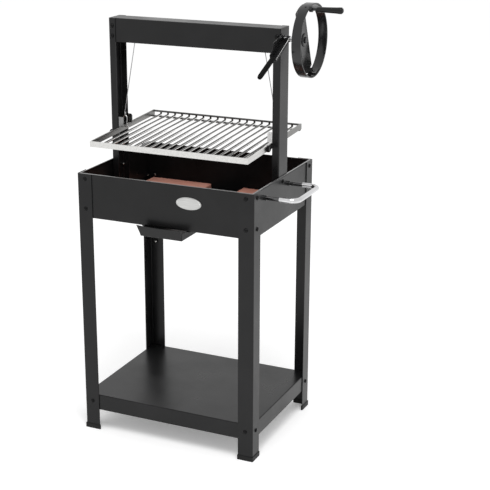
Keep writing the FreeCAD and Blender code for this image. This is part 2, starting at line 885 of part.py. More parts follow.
def cable_shackle(side):
    """A bow over the side bar with a pin through it, and the ferrule on the cable."""
    x = cable_end_x
    crown = Vector(x, cable_y, shackle_crown_z)
    legs = []
    for way in SIDES.values():
        foot = Vector(x + way * shackle_radius, cable_y, shackle_pin_z)
        legs.append(rod(shackle_rod, foot, foot + Z * shackle_leg))
        legs.append(Part.makeSphere(shackle_rod + running_fit, foot))
    circle = Part.Face(Part.Wire(Part.makeCircle(shackle_rod,
                                                 crown + X * shackle_radius, Z)))
    arch = circle.revolve(crown, -Y, 180)
    ferrule = rod(ferrule_radius, crown + Z * shackle_radius,
                  Vector(x, cable_y, ferrule_end_z))
    reach = shackle_radius + shackle_rod + shackle_pin_stub
    pin = rod(shackle_pin_radius, Vector(x - reach, cable_y, shackle_pin_z),
              Vector(x + reach, cable_y, shackle_pin_z))
    whole = arch.fuse(legs + [ferrule, pin])
    return mirrored(whole, side)


def spoke_axis():
    """The direction from the axle to the upper end of the spoke plate."""
    tilt = math.radians(spoke_tilt_deg)
    return Vector(0, -math.sin(tilt), math.cos(tilt))


def wheel_bolt_places():
    """The spoke plate's two radial bolts: inner face of each tab and inward axis."""
    tab_radius = hoop_radius - hoop_thickness - spoke_fit - spoke_sheet
    seat = math.sqrt(tab_radius * tab_radius - wheel_bolt_head * wheel_bolt_head)
    centre = on_axle(hoop_x + hoop_width / 2)
    return [(centre + spoke_axis() * (seat * way), spoke_axis() * -way) for way in (1, -1)]


def wheel_hoop():
    """A flat bar rolled into a ring, drilled for the spoke plate's bolts."""
    hoop = tube(hoop_radius - hoop_thickness, hoop_radius, on_axle(hoop_x),
                on_axle(hoop_end_x))
    holes = [(seat, seat - axis * hoop_radius) for seat, axis in wheel_bolt_places()]
    return drill(hoop, wheel_bolt_radius + running_fit, holes)


def wheel_spoke():
    """A wide plate across the hoop, its ends bent into tabs along the rim."""
    rim = hoop_radius - hoop_thickness - spoke_fit
    start = on_axle(spoke_x)
    turn = FreeCAD.Rotation(X, spoke_tilt_deg)

    def strip(width, x_span):
        bar = box(x_span, (-width / 2, width / 2), (-rim - rim, rim + rim))
        bar.Placement = FreeCAD.Placement(Vector(0, axle_y, axle_z), turn)
        return bar

    disc = rod(rim, start, on_axle(spoke_end_x))
    plate = disc.common(strip(spoke_width, (spoke_x, spoke_end_x)))
    ring = tube(rim - spoke_sheet, rim, start, on_axle(hoop_end_x - spoke_sheet))
    tabs = ring.common(strip(tab_width, (spoke_x, hoop_end_x)))
    spoke = plate.fuse(tabs).removeSplitter()
    holes = [(seat + axis * spoke_sheet, seat - axis * spoke_sheet * 2)
             for seat, axis in wheel_bolt_places()]
    spoke = drill(spoke, wheel_bolt_radius + running_fit, holes)
    bore = [(on_axle(hub_start_x), on_axle(hoop_end_x))]
    return drill(spoke, hub_radius + running_fit, bore)


def wheel_hub():
    """A sleeve through the spoke plate with a wide boss on the plate's outer face."""
    bore = axle_radius + running_fit
    seat = spoke_end_x - hub_start_x
    end = seat + boss_width
    profile = [(bore, 0), (hub_radius, 0), (hub_radius, seat), (boss_radius, seat),
               (boss_radius, end - stud_edge), (boss_radius - stud_edge, end), (bore, end)]
    return turned(profile, on_axle(hub_start_x), X)


def wheel_nut():
    """The domed nut that holds the wheel on the axle's end."""
    bore = axle_radius + running_fit
    start = spoke_end_x + boss_width
    profile = [(bore, 0), (wheel_nut_radius, 0), (wheel_nut_radius, wheel_nut_width / 2),
               (bore, wheel_nut_width)]
    return turned(profile, on_axle(start), X)


def wheel_bolts():
    """Two domed bolts through the spoke's tabs and the hoop."""
    length = spoke_sheet + spoke_fit + hoop_thickness + wheel_bolt_tail
    return Part.makeCompound([
        domed_bolt(seat, axis, length, wheel_bolt_radius, wheel_bolt_head,
                   wheel_bolt_head_height)
        for seat, axis in wheel_bolt_places()])


def crank_point(x):
    """A point on the crank pin's line."""
    angle = math.radians(crank_angle_deg)
    return on_axle(x) + Vector(0, math.cos(angle), math.sin(angle)) * crank_radius


def crank_pin():
    """The pin on the hoop's edge: a boss, a plain shank and a riveted head."""
    start = hoop_end_x
    shank = knob_end_x + knob_end_play - start
    profile = [(0, 0), (crank_boss_radius, 0), (crank_boss_radius, crank_boss_width),
               (crank_pin_radius, crank_boss_width), (crank_pin_radius, shank),
               (crank_head_radius, shank), (crank_head_radius, shank + crank_head_height / 2),
               (crank_head_radius / 2, shank + crank_head_height),
               (0, shank + crank_head_height)]
    return turned(profile, crank_point(start), X)


def crank_knob():
    """A tapered grip that turns on the crank pin."""
    bore = crank_pin_radius + running_fit
    profile = [(bore, 0), (knob_root_radius - knob_edge, 0), (knob_root_radius, knob_edge),
               (knob_tip_radius, knob_length - knob_edge),
               (knob_tip_radius - knob_edge, knob_length), (bore, knob_length)]
    return turned(profile, crank_point(knob_start_x), X)


def brake_drum():
    """The polished disc on the axle that the shoe grips."""
    bore = axle_radius + running_fit
    profile = [(bore, 0), (drum_radius - drum_edge, 0), (drum_radius, drum_edge),
               (drum_radius, drum_width - drum_edge), (drum_radius - drum_edge, drum_width),
               (bore, drum_width)]
    return turned(profile, on_axle(drum_x), X)


def drum_sector(inner, outer, x_span, start_deg, end_deg):
    """Part of a ring about the axle, between two angles from +Y towards +Z."""
    sweep = end_deg - start_deg
    ring = Part.makeCylinder(outer, x_span[1] - x_span[0], Vector(0, 0, 0), Z, sweep)
    core = Part.makeCylinder(inner, x_span[1] - x_span[0])
    sector = ring.cut(core)
    turn = FreeCAD.Rotation(X, start_deg) * FreeCAD.Rotation(Y, Z, X, "ZXY")
    sector.Placement = FreeCAD.Placement(on_axle(x_span[0]), turn)
    return sector


def brake_shoe():
    """The friction pad between the lever and the drum."""
    inner = drum_radius + shoe_gap
    span = (lever_x + lever_sheet + shoe_inset, lever_x + lever_width - lever_sheet - shoe_inset)
    return drum_sector(inner, inner + shoe_thickness, span, shoe_start_deg, shoe_end_deg)


def lever_frame():
    """The lever's heel, the far end of its web, and the directions along and across it."""
    slope = math.radians(lever_slope_deg)
    down = Vector(0, -math.cos(slope), -math.sin(slope))
    up = Vector(0, -math.sin(slope), math.cos(slope))
    nose_rear = Vector(0, pivot_y + lever_nose, pivot_z + lever_nose)
    heel = nose_rear - Z * lever_root_height
    return nose_rear, heel, heel + down * lever_length, down, up


def flat_sheet(corners, x_span):
    """A flat piece of sheet with an outline of corners seen from the side."""
    face = Part.Face(Part.makePolygon(corners + corners[:1]))
    return face.extrude(X * (x_span[1] - x_span[0])).translated(X * x_span[0])


def brake_lever():
    """A folded channel: a tall cheek on the pivot, a web, and a low cheek outside."""
    nose_rear, heel, toe, down, up = lever_frame()
    right = lever_x + lever_width
    nose_front = nose_rear - Y * (lever_nose + lever_nose)
    crest = heel + down * lever_crest_run + up * lever_crest_height
    step = heel + down * lever_step_run + up * lever_step_height
    tall = flat_sheet([nose_rear, heel, toe, toe + up * lever_end_height, step, crest, nose_front],
                      (lever_x, lever_x + lever_sheet))
    low = flat_sheet([heel, toe, toe + up * lever_low_height, heel + up * lever_low_height],
                     (right - lever_sheet, right))
    web = flat_sheet([heel, toe, toe + up * lever_sheet, heel + up * lever_sheet],
                     (lever_x, right))
    inner = drum_radius + shoe_gap + shoe_thickness
    back = drum_sector(inner, inner + lever_sheet, (lever_x, right), shoe_start_deg, shoe_end_deg)
    lever = tall.fuse([low, web, back]).removeSplitter()
    pivot = [(Vector(0, pivot_y, pivot_z), Vector(half_width + half_width, pivot_y, pivot_z))]
    lever = drill(lever, pivot_radius + running_fit, pivot)
    return lever.cut(rod(inner, on_axle(lever_x + lever_sheet), on_axle(right)))


def lever_grip():
    """The round grip, with a thinner tang between the lever's cheeks."""
    nose_rear, heel, toe, down, up = lever_frame()
    slope = math.radians(grip_slope_deg)
    along = Vector(0, -math.cos(slope), -math.sin(slope))
    centre = lever_x + lever_width / 2
    rise = tang_length * math.sin(math.radians(lever_slope_deg - grip_slope_deg))
    start = toe + up * (lever_width / 2 + rise) + X * centre + along * grip_seat_gap
    tang_radius = lever_width / 2 - lever_sheet - running_fit
    profile = [(0, 0), (tang_radius, 0), (tang_radius, tang_length),
               (grip_radius, tang_length), (grip_radius, tang_length + grip_length - grip_radius),
               (grip_radius / 2, tang_length + grip_length), (0, tang_length + grip_length)]
    return turned(profile, start - along * tang_length, along)


def lever_pivot():
    """The stud that the lever turns on, set in the upright's web."""
    start = web_in_x
    shoulder_end = lever_x - pivot_shoulder_gap - start
    end = lever_x + lever_sheet + running_fit - start
    profile = [(0, 0), (pivot_radius, 0), (pivot_radius, upright_sheet),
               (pivot_shoulder_radius, upright_sheet), (pivot_shoulder_radius, shoulder_end),
               (pivot_radius, shoulder_end), (pivot_radius, end), (pivot_head_radius, end),
               (pivot_head_radius, end + pivot_head_height / 2),
               (pivot_head_radius / 2, end + pivot_head_height), (0, end + pivot_head_height)]
    return turned(profile, Vector(start, pivot_y, pivot_z), X)


def handle_neck(y):
    """A slim round neck on the right wall that goes into the handle's end."""
    outer = handle_radius - handle_wall - running_fit
    bore = bolt_radius + running_fit
    end = neck_length + neck_lap
    profile = [(bore, 0), (neck_base_radius, 0), (neck_base_radius, neck_base),
               (outer, neck_base), (outer, end), (0, end), (0, neck_bolt_depth),
               (bore, neck_bolt_depth)]
    return turned(profile, Vector(wall_out_x, y, handle_z), X)


def handle_bar(radius):
    """A round bar with two legs and a long run between round corners."""
    front = handle_front_y
    rear = handle_rear_y
    z = handle_z

    def corner(y, way):
        centre = Vector(handle_bend_x, y + way * handle_bend, z)
        ring = Part.makeCircle(radius, Vector(handle_bend_x, y, z), X)
        return Part.Face(Part.Wire(ring)).revolve(centre, Z * way, 90)

    pieces = [rod(radius, Vector(handle_start_x, y, z), Vector(handle_bend_x, y, z))
              for y in (front, rear)]
    pieces += [corner(front, 1), corner(rear, -1)]
    pieces.append(rod(radius, Vector(handle_reach, front + handle_bend, z),
                      Vector(handle_reach, rear - handle_bend, z)))
    return pieces[0].fuse(pieces[1:]).removeSplitter()


def side_handle():
    """A bent tube whose open ends take the necks."""
    return handle_bar(handle_radius).cut(handle_bar(handle_radius - handle_wall))


def oval(half_x, half_z, y_start, y_end):
    """An upright oval plate between two planes across the grill."""
    ellipse = Part.Ellipse(Vector(0, 0, 0), half_x, half_z).toShape()
    plate = Part.Face(Part.Wire(ellipse)).extrude(Z * (y_start - y_end))
    turn = FreeCAD.Rotation(X, 90)
    plate.Placement = FreeCAD.Placement(Vector(badge_x, y_start, badge_z), turn)
    return plate


def badge_plate():
    """The plain oval plate, with a raised field inside its rim."""
    face = -wall_out_y
    rim = oval(badge_half_width, badge_half_height, face, face - badge_sheet)
    field = oval(badge_half_width - badge_sheet * 2, badge_half_height - badge_sheet * 2,
                 face - badge_sheet, face - badge_sheet - badge_crown)
    return rim.fuse(field).removeSplitter()


def badge_rivets():
    """Two small rivets that hold the oval plate."""
    face = -wall_out_y - badge_sheet - badge_crown
    profile = [(0, 0), (rivet_radius, 0), (rivet_radius / 2, rivet_height), (0, rivet_height)]
    return Part.makeCompound([
        turned(profile, Vector(badge_x + side * (badge_half_width - rivet_inset), face, badge_z), -Y)
        for side in SIDES.values()])


def stand_bolts():
    """Domed bolts through the legs, beam, uprights and walls, and into the necks."""
    length = leg_sheet + wall_sheet + nut_height + bolt_tail
    bolts = [domed_bolt(point, axis, length) for point, axis in leg_bolt_places()]
    bolts.append(domed_bolt(lone_bolt_place(), Y, leg_sheet + nut_height + bolt_tail))
    length = upright_sheet + beam_sheet + nut_height + bolt_tail
    bolts += [domed_bolt(point, axis, length) for point, axis in beam_bolt_places()]
    grip = wall_out_x - web_in_x
    length = grip + nut_height + bolt_tail
    for side in SIDES.values():
        bolts.append(domed_bolt(Vector(side * wall_out_x, upright_bolt_y, upright_bolt_z),
                                X * side, length))
    bolts.append(domed_bolt(Vector(-wall_out_x, handle_rear_y, handle_z), -X, length))
    depth = neck_bolt_depth - bolt_tail
    bolts.append(domed_bolt(Vector(web_in_x, handle_rear_y, handle_z), -X, grip + depth))
    bolts.append(domed_bolt(Vector(wall_in_x, handle_front_y, handle_z), -X,
                            wall_sheet + depth))
    return Part.makeCompound(bolts)


def stand_nuts():
    """Nuts on the bolts' inner ends: in the firebox, the shelf, the beam and channels."""
    nuts = []
    for point, axis in leg_bolt_places():
        sheet = shelf_sheet if point.z == shelf_bolt_z else wall_sheet
        nuts.append(hex_nut(point - axis * (leg_sheet + sheet), -axis))
    nuts.append(hex_nut(lone_bolt_place() - Y * leg_sheet, -Y))
    nuts += [hex_nut(point - axis * (upright_sheet + beam_sheet), -axis)
             for point, axis in beam_bolt_places()]
    for side, y, z in ((-1, upright_bolt_y, upright_bolt_z), (1, upright_bolt_y, upright_bolt_z),
                       (-1, handle_rear_y, handle_z)):
        nuts.append(hex_nut(Vector(side * web_in_x, y, z), -X * side))
    return Part.makeCompound(nuts)


def upright_spacers():
    """Washers that fill the space between each side wall and its upright."""
    return Part.makeCompound([
        tube(bolt_hole_radius, spacer_radius, Vector(side * upright_web_x, y, z),
             Vector(side * wall_in_x, y, z))
        for side in SIDES.values() for y, z in side_bolt_places()])


def build():
    """Every piece of the grill, by its node's name."""
    nodes = {}
    for end_name, end in ENDS.items():
        nodes["firebox_" + end_name] = end_wall(end)
        for side_name, side in SIDES.items():
            place = end_name + "_" + side_name
            nodes["leg_" + place] = angle_leg(side, end)
            nodes["foot_cap_" + place] = foot_cap(side, end)
            nodes["firebrick_" + place] = firebrick(side, end)
    for side_name, side in SIDES.items():
        nodes["firebox_" + side_name] = side_wall(side)
        nodes["upright_" + side_name] = upright(side)
        nodes["axle_bush_" + side_name] = axle_bush(side)
        nodes["cable_winding_" + side_name] = cable_winding(side)
        nodes["lift_cable_" + side_name] = lift_cable(side)
        nodes["guide_plates_" + side_name] = guide_plates(side)
        nodes["cable_shackle_" + side_name] = cable_shackle(side)
    nodes["tray_runners"] = Part.makeCompound([tray_runner(side) for side in SIDES.values()])
    nodes["grate_studs"] = Part.makeCompound([grate_stud(side) for side in SIDES.values()])
    nodes["handle_necks"] = Part.makeCompound([handle_neck(y) for y in
                                               (handle_front_y, handle_rear_y)])
    for piece in (bottom_shelf, firebox_floor, ash_tray, top_beam, winch_axle, axle_end_ring,
                  grate_frame, grate_rods, grate_rear_rail, grate_cross_bar, wheel_hoop,
                  wheel_spoke, wheel_hub, wheel_nut, wheel_bolts, crank_pin, crank_knob,
                  brake_drum, brake_shoe, brake_lever, lever_grip, lever_pivot, side_handle,
                  badge_plate, badge_rivets, stand_bolts, stand_nuts, upright_spacers):
        nodes[piece.__name__] = piece()
    return nodes


def main():
    """Set every piece about the footprint's middle and write it."""
    os.makedirs("parts", exist_ok=True)
    shift = Vector(-origin_x, -origin_y, 0)
    whole = FreeCAD.BoundBox()
    nodes = build()
    for name, shape in nodes.items():
        placed = shape.translated(shift)
        placed.exportStep("parts/" + name + ".step")
        whole.add(placed.BoundBox)
        if not placed.isValid() or min(solid.Volume for solid in placed.Solids) <= 0:
            print("check", name, placed.isValid(), [solid.Volume for solid in placed.Solids])
    print(len(nodes), "pieces, shift", shift)
    print("box", whole)
    return nodes


main()
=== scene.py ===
# %% [markdown]
# # An Argentine charcoal grill, dressed over its CAD model
#
# The grill is a folded steel stand with a firebox.  A cooking grate hangs on two cables
# between two uprights, and a hand wheel winds it up and down.
#
# The CAD model already holds the parts.  This lesson gives each one its finish, and lays
# finer surfaces over the parts whose real surface is smoother or richer than the CAD
# model's flat facets.  Two of those surfaces also differ from their solids in shape: the
# rods are a little thinner, and the flat cross bar sits 15 mm further back.

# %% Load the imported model
import math
import bpy
import numpy as np
from mathutils import Matrix


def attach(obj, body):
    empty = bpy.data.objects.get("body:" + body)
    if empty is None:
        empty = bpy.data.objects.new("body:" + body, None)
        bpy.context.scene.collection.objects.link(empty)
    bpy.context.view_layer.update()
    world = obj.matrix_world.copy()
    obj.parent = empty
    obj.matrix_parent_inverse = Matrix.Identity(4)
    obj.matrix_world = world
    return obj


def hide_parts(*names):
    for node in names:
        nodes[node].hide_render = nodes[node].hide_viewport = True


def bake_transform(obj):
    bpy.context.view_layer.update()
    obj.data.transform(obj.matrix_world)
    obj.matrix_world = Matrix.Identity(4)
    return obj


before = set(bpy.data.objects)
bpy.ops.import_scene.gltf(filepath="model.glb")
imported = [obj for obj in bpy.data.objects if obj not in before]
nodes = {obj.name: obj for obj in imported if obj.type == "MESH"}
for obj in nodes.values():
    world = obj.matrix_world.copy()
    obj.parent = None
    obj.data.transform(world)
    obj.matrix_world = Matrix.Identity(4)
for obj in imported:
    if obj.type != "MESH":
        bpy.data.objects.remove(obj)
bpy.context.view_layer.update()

# Sizes below are in millimetres from the middle of the four legs, which lies here.
LEGS_MIDDLE = (-84.05, 12.9)

# %% [markdown]
# ## The camera
#
# The photograph fixes where the camera stood.  A least-squares fit of the grill's corners,
# with its stated width and height, gave the distance, the height and a long lens.  So the
# camera here has that place, that turn and that lens.  The small shift puts the picture's
# middle where the photograph has it.

# %% Camera
CAMERA_PLACE = (1.52961, -3.24922, 1.72999)
CAMERA_TURN = math.radians(25.772)
CAMERA_RISE = math.radians(18.528)
CAMERA_ROLL = math.radians(-0.293)
CAMERA_LENS = 94.93
CAMERA_SHIFT = (0.0722, 0.0282)


def aim_camera(turn, rise, roll):
    """Three unit rows: right, up and back, from the azimuth, the elevation and the roll."""
    back = np.array([math.sin(turn) * math.cos(rise), -math.cos(turn) * math.cos(rise),
                     math.sin(rise)])
    right = np.array([math.cos(turn), math.sin(turn), 0.0])
    up = np.cross(back, right)
    return (right * math.cos(roll) + up * math.sin(roll),
            up * math.cos(roll) - right * math.sin(roll), back)


camera = bpy.data.objects.new("camera", bpy.data.cameras.new("camera"))
bpy.context.scene.collection.objects.link(camera)
right, up, back = aim_camera(CAMERA_TURN, CAMERA_RISE, CAMERA_ROLL)
camera.matrix_world = Matrix([(right[i], up[i], back[i], CAMERA_PLACE[i]) for i in range(3)]
                             + [(0, 0, 0, 1)])
camera.data.sensor_width = 36
camera.data.lens = CAMERA_LENS
camera.data.shift_x, camera.data.shift_y = CAMERA_SHIFT
camera.data.clip_end = 50
bpy.context.scene.camera = camera
print("camera at", CAMERA_PLACE)

# %% [markdown]
# ## Floor, sky and lamps
#
# The photograph was taken on white.  A white surround on all sides does most of the
# lighting, and it is also what the black enamel and the chrome reflect.  One large soft
# lamp above the cook gives the floor its faint shadow.  The floor is a pale plane that
# catches this shadow, and a little glow that only the camera and mirrors see takes the
# rest of it up to white.


# %% A helper that builds a node tree from short lines
class Finish:
    """A material and its node tree, with calls that add a node and return its output."""

    def __init__(self, name):
        self.material = bpy.data.materials.new(name)
        self.material.use_nodes = True
        self.tree = self.material.node_tree
        self.shader = self.tree.nodes["Principled BSDF"]
        self.place = self.add("ShaderNodeTexCoord").outputs["Object"]

    def add(self, kind, **settings):
        """A new node of a kind, with its settings."""
        node = self.tree.nodes.new(kind)
        for key, value in settings.items():
            setattr(node, key, value)
        return node

    def join(self, source, socket):
        """A link from an output to an input."""
        self.tree.links.new(source, socket)

    def set(self, **values):
        """Plain values for the shader's inputs, with _ for each space in a name."""
        for key, value in values.items():
            self.shader.inputs[key.replace("_", " ")].default_value = value
        return self

    def scaled(self, stretch):
        """The object's coordinates, stretched along each axis."""
        node = self.add("ShaderNodeMapping")
        node.inputs["Scale"].default_value = stretch
        self.join(self.place, node.inputs["Vector"])
        return node.outputs["Vector"]

    def noise(self, scale, detail=4.0, rough=0.55, stretch=(1, 1, 1)):
        """Fractal noise of a given scale per metre."""
        node = self.add("ShaderNodeTexNoise")
        node.inputs["Scale"].default_value = scale
        node.inputs["Detail"].default_value = detail
        node.inputs["Roughness"].default_value = rough
        self.join(self.scaled(stretch), node.inputs["Vector"])
        return node.outputs["Fac"]

    def ramp(self, source, stops):
        """A colour or value read from a ramp: stops are (place, colour)."""
        node = self.add("ShaderNodeValToRGB")
        elements = node.color_ramp.elements
        while len(elements) < len(stops):
            elements.new(0.5)
        for element, (place, colour) in zip(elements, stops):
            element.position = place
            element.color = (*colour, 1) if len(colour) == 3 else colour
        self.join(source, node.inputs["Fac"])
        return node.outputs["Color"]

    def span(self, source, low, high, start=0.3, end=0.7):
        """A value carried from one range to another."""
        node = self.add("ShaderNodeMapRange")
        node.inputs["From Min"].default_value = start
        node.inputs["From Max"].default_value = end
        node.inputs["To Min"].default_value = low
        node.inputs["To Max"].default_value = high
        self.join(source, node.inputs["Value"])
        return node.outputs["Result"]

    def bump(self, source, depth, strength=1.0, under=None):
        """A bump of a real depth in metres."""
        node = self.add("ShaderNodeBump")
        node.inputs["Strength"].default_value = strength
        node.inputs["Distance"].default_value = depth
        self.join(source, node.inputs["Height"])
        if under is not None:
            self.join(under, node.inputs["Normal"])
        return node.outputs["Normal"]

    def wear(self, socket, source):
        """An output that drives one of the shader's inputs."""
        self.join(source, self.shader.inputs[socket])
        return self

    def calculate(self, operation, first, second=0.0):
        """One step of arithmetic on outputs or numbers."""
        node = self.add("ShaderNodeMath", operation=operation)
        for value, socket in zip((first, second), node.inputs):
            if isinstance(value, (int, float)):
                socket.default_value = value
            else:
                self.join(value, socket)
        return node.outputs[0]

    def coordinate(self, axis):
        """One of the object's three coordinates, in metres."""
        node = self.add("ShaderNodeSeparateXYZ")
        self.join(self.place, node.inputs[0])
        return node.outputs[axis]

    def stored(self, name):
        """A value that the mesh stores for each point."""
        return self.add("ShaderNodeAttribute", attribute_name=name).outputs["Fac"]

    def overlay(self, mask, colour):
        """The base colour gives way to another one where a mask is 1."""
        node = self.add("ShaderNodeMix", data_type="RGBA")
        self.join(mask, node.inputs["Factor"])
        base = self.shader.inputs["Base Color"]
        if base.links:
            self.join(base.links[0].from_socket, node.inputs["A"])
        else:
            node.inputs["A"].default_value = base.default_value
        node.inputs["B"].default_value = (*colour, 1)
        self.join(node.outputs["Result"], base)
        return self


# %% Floor and surround
FLOOR_HALF = 40
FLOOR_SHADE, FLOOR_GLOW = 0.95, 0.24
SKY_FOR_LIGHT, SKY_SEEN = 0.8, 1.0


def white_floor():
    """A pale floor: plain diffuse, plus a glow seen by the camera and by mirrors."""
    finish = Finish("white_floor")
    finish.set(Base_Color=(FLOOR_SHADE, FLOOR_SHADE, FLOOR_SHADE, 1), Roughness=0.9,
               Specular_IOR_Level=0.0, Emission_Color=(1, 1, 1, 1))
    rays = finish.add("ShaderNodeLightPath").outputs
    seen = finish.calculate("MAXIMUM", rays["Is Camera Ray"], rays["Is Glossy Ray"])
    seen = finish.calculate("MAXIMUM", seen, rays["Is Transmission Ray"])
    finish.wear("Emission Strength", finish.calculate("MULTIPLY", seen, FLOOR_GLOW))
    return finish.material


floor_mesh = bpy.data.meshes.new("floor")
floor_mesh.from_pydata([(x * FLOOR_HALF, y * FLOOR_HALF, 0)
                        for x, y in ((-1, -1), (1, -1), (1, 1), (-1, 1))], [], [(0, 1, 2, 3)])
floor = bpy.data.objects.new("floor", floor_mesh)
bpy.context.scene.collection.objects.link(floor)
floor.data.materials.append(white_floor())

world = bpy.data.worlds.new("white_surround")
bpy.context.scene.world = world
world.use_nodes = True
tree = world.node_tree
background = tree.nodes["Background"]
background.inputs["Color"].default_value = (1, 1, 1, 1)
path = tree.nodes.new("ShaderNodeLightPath")
either = tree.nodes.new("ShaderNodeMath")
either.operation = "MAXIMUM"
tree.links.new(path.outputs["Is Camera Ray"], either.inputs[0])
tree.links.new(path.outputs["Is Glossy Ray"], either.inputs[1])
every = tree.nodes.new("ShaderNodeMath")
every.operation = "MAXIMUM"
tree.links.new(either.outputs[0], every.inputs[0])
tree.links.new(path.outputs["Is Transmission Ray"], every.inputs[1])
strength = tree.nodes.new("ShaderNodeMapRange")
strength.inputs["To Min"].default_value = SKY_FOR_LIGHT
strength.inputs["To Max"].default_value = SKY_SEEN
tree.links.new(every.outputs[0], strength.inputs["Value"])
tree.links.new(strength.outputs["Result"], background.inputs["Strength"])


def soft_lamp(name, place, target, size, power):
    """A square area lamp that faces a target."""
    data = bpy.data.lights.new(name, "AREA")
    data.size = size
    data.energy = power
    lamp = bpy.data.objects.new(name, data)
    bpy.context.scene.collection.objects.link(lamp)
    away = np.array(place, float) - np.array(target, float)
    away /= np.linalg.norm(away)
    side = np.cross([0, 0, 1], away)
    side /= np.linalg.norm(side)
    over = np.cross(away, side)
    lamp.matrix_world = Matrix([(side[i], over[i], away[i], place[i]) for i in range(3)]
                               + [(0, 0, 0, 1)])


soft_lamp("lamp_over_cook", (0.9, -1.6, 3.6), (0, 0, 0.7), 1.6, 62)
bpy.context.scene.view_settings.view_transform = "Standard"
print("floor, surround and lamp are set")

# %% [markdown]
# ## The black enamel
#
# The sheet steel is sprayed with a satin black enamel and baked.  Close up it has a very
# fine orange-peel ripple, and its gloss varies a little from place to place.  A rough
# dark base with a clear gloss over it gives both: faces seen at a slant reflect the white
# room and look grey, and faces seen squarely stay black.
#
# Some pieces have two looks.  A mask, made from the object's coordinates or from a value
# that the mesh stores for each point, blends from one to the other.


# %% Enamel
def enamel(name, colour, gloss, shine=0.27, ripple=0.00006):
    """Dark paint: one base colour, gloss that wanders with a broad noise, fine ripple."""
    finish = Finish(name).set(Base_Color=(*colour, 1), IOR=1.5, Specular_IOR_Level=shine)
    broad = finish.noise(9.0, 5.0)
    fine = finish.noise(1400.0, 2.0)
    finish.wear("Roughness", finish.span(broad, gloss - 0.05, gloss + 0.07))
    dust = finish.ramp(broad, [(0.3, colour), (0.75, tuple(c * 1.5 + 0.002 for c in colour))])
    finish.wear("Base Color", dust)
    finish.wear("Normal", finish.bump(fine, ripple, 0.35))
    return finish


black_enamel = enamel("black_enamel", (0.0045, 0.0045, 0.0048), 0.31).material
wheel_enamel = enamel("wheel_enamel", (0.004, 0.004, 0.0044), 0.18, 0.5).material
nut_black = enamel("nut_black", (0.004, 0.004, 0.0044), 0.3, 0.3, 0.00003).material

# The thread that shows beyond a nut is bare zinc.  Its points store the value 1.
bolts_paint = enamel("bolt_black", (0.002, 0.002, 0.0022), 0.13, 0.13, 0.00003)
bare = bolts_paint.stored("bare")
bolt_black = bolts_paint.overlay(bare, (0.62, 0.61, 0.58)).wear("Metallic", bare).material

# The low cheek's upper edge gets a bright metallic band: a painted highlight on that edge.
# The edge is 6.4 mm above the line from the heel to the toe, which drops 25 degrees.
HEEL_Y, HEEL_Z = 0.0039, 1.175
DROP_SINE, DROP_COSINE = 0.4226, 0.9063
lever_paint_with_highlight = enamel("lever_paint_with_highlight", (0.004, 0.004, 0.0044), 0.24, 0.34)
forward = lever_paint_with_highlight.calculate("SUBTRACT", HEEL_Y, lever_paint_with_highlight.coordinate("Y"))
above = lever_paint_with_highlight.calculate("SUBTRACT", lever_paint_with_highlight.coordinate("Z"), HEEL_Z)
rise = lever_paint_with_highlight.calculate("ADD", lever_paint_with_highlight.calculate("MULTIPLY", forward, DROP_SINE),
                             lever_paint_with_highlight.calculate("MULTIPLY", above, DROP_COSINE))
edge = lever_paint_with_highlight.calculate("MULTIPLY", lever_paint_with_highlight.span(rise, 0, 1, 0.0058, 0.0062),
                             lever_paint_with_highlight.span(lever_paint_with_highlight.coordinate("X"), 0, 1, 0.2003, 0.2005))
lever_enamel_with_highlight = lever_paint_with_highlight.overlay(edge, (0.8, 0.8, 0.79)).wear("Metallic", edge).material

# Inside, the firebox walls reflect less: painted shade inside the box.  A lighter metallic
# band along their top edge is a painted highlight.
fire_paint_shade_and_highlight = enamel("fire_paint_shade_and_highlight", (0.0042, 0.0042, 0.0044), 0.31)
across = fire_paint_shade_and_highlight.calculate("ADD", fire_paint_shade_and_highlight.coordinate("X"), -LEGS_MIDDLE[0] / 1000)
deep = fire_paint_shade_and_highlight.calculate("SUBTRACT", fire_paint_shade_and_highlight.coordinate("Y"), LEGS_MIDDLE[1] / 1000)
painted_shade_inside = fire_paint_shade_and_highlight.calculate("MULTIPLY",
                              fire_paint_shade_and_highlight.span(fire_paint_shade_and_highlight.calculate("ABSOLUTE", across),
                                              1, 0, 0.2708, 0.2722),
                              fire_paint_shade_and_highlight.span(fire_paint_shade_and_highlight.calculate("ABSOLUTE", deep),
                                              1, 0, 0.2108, 0.2122))
painted_shade_inside = fire_paint_shade_and_highlight.calculate("MULTIPLY", painted_shade_inside,
                              fire_paint_shade_and_highlight.span(fire_paint_shade_and_highlight.coordinate("Z"), 1, 0, 0.791, 0.7925))
painted_highlight_hem = fire_paint_shade_and_highlight.span(fire_paint_shade_and_highlight.coordinate("Z"), 0, 1, 0.7944, 0.7946)
fire_paint_shade_and_highlight.wear("Specular IOR Level", fire_paint_shade_and_highlight.span(painted_shade_inside, 0.27, 0.07, 0, 1))
fire_enamel_shade_and_highlight = fire_paint_shade_and_highlight.overlay(painted_highlight_hem, (0.32, 0.32, 0.32)).wear("Metallic", painted_highlight_hem).material
print("enamels:", [m.name for m in (black_enamel, wheel_enamel, bolt_black, fire_enamel_shade_and_highlight)])

# %% [markdown]
# ## Moulded plastic and rubber
#
# The feet and the knob are black plastic, the lever's grip is rubber, and the brake's shoe
# has a lining.  They differ in gloss and in how coarse their skin is, so one function
# makes all of them.


# %% Plastics
def moulded(name, colour, rough, grain, depth, shine=0.4):
    """Moulded plastic: an even colour and a fine pebbled skin."""
    finish = Finish(name).set(Base_Color=(*colour, 1), IOR=1.46, Specular_IOR_Level=shine)
    skin = finish.noise(grain, 3.0, 0.6)
    finish.wear("Roughness", finish.span(skin, rough - 0.04, rough + 0.06))
    finish.wear("Normal", finish.bump(skin, depth, 0.4))
    return finish.material


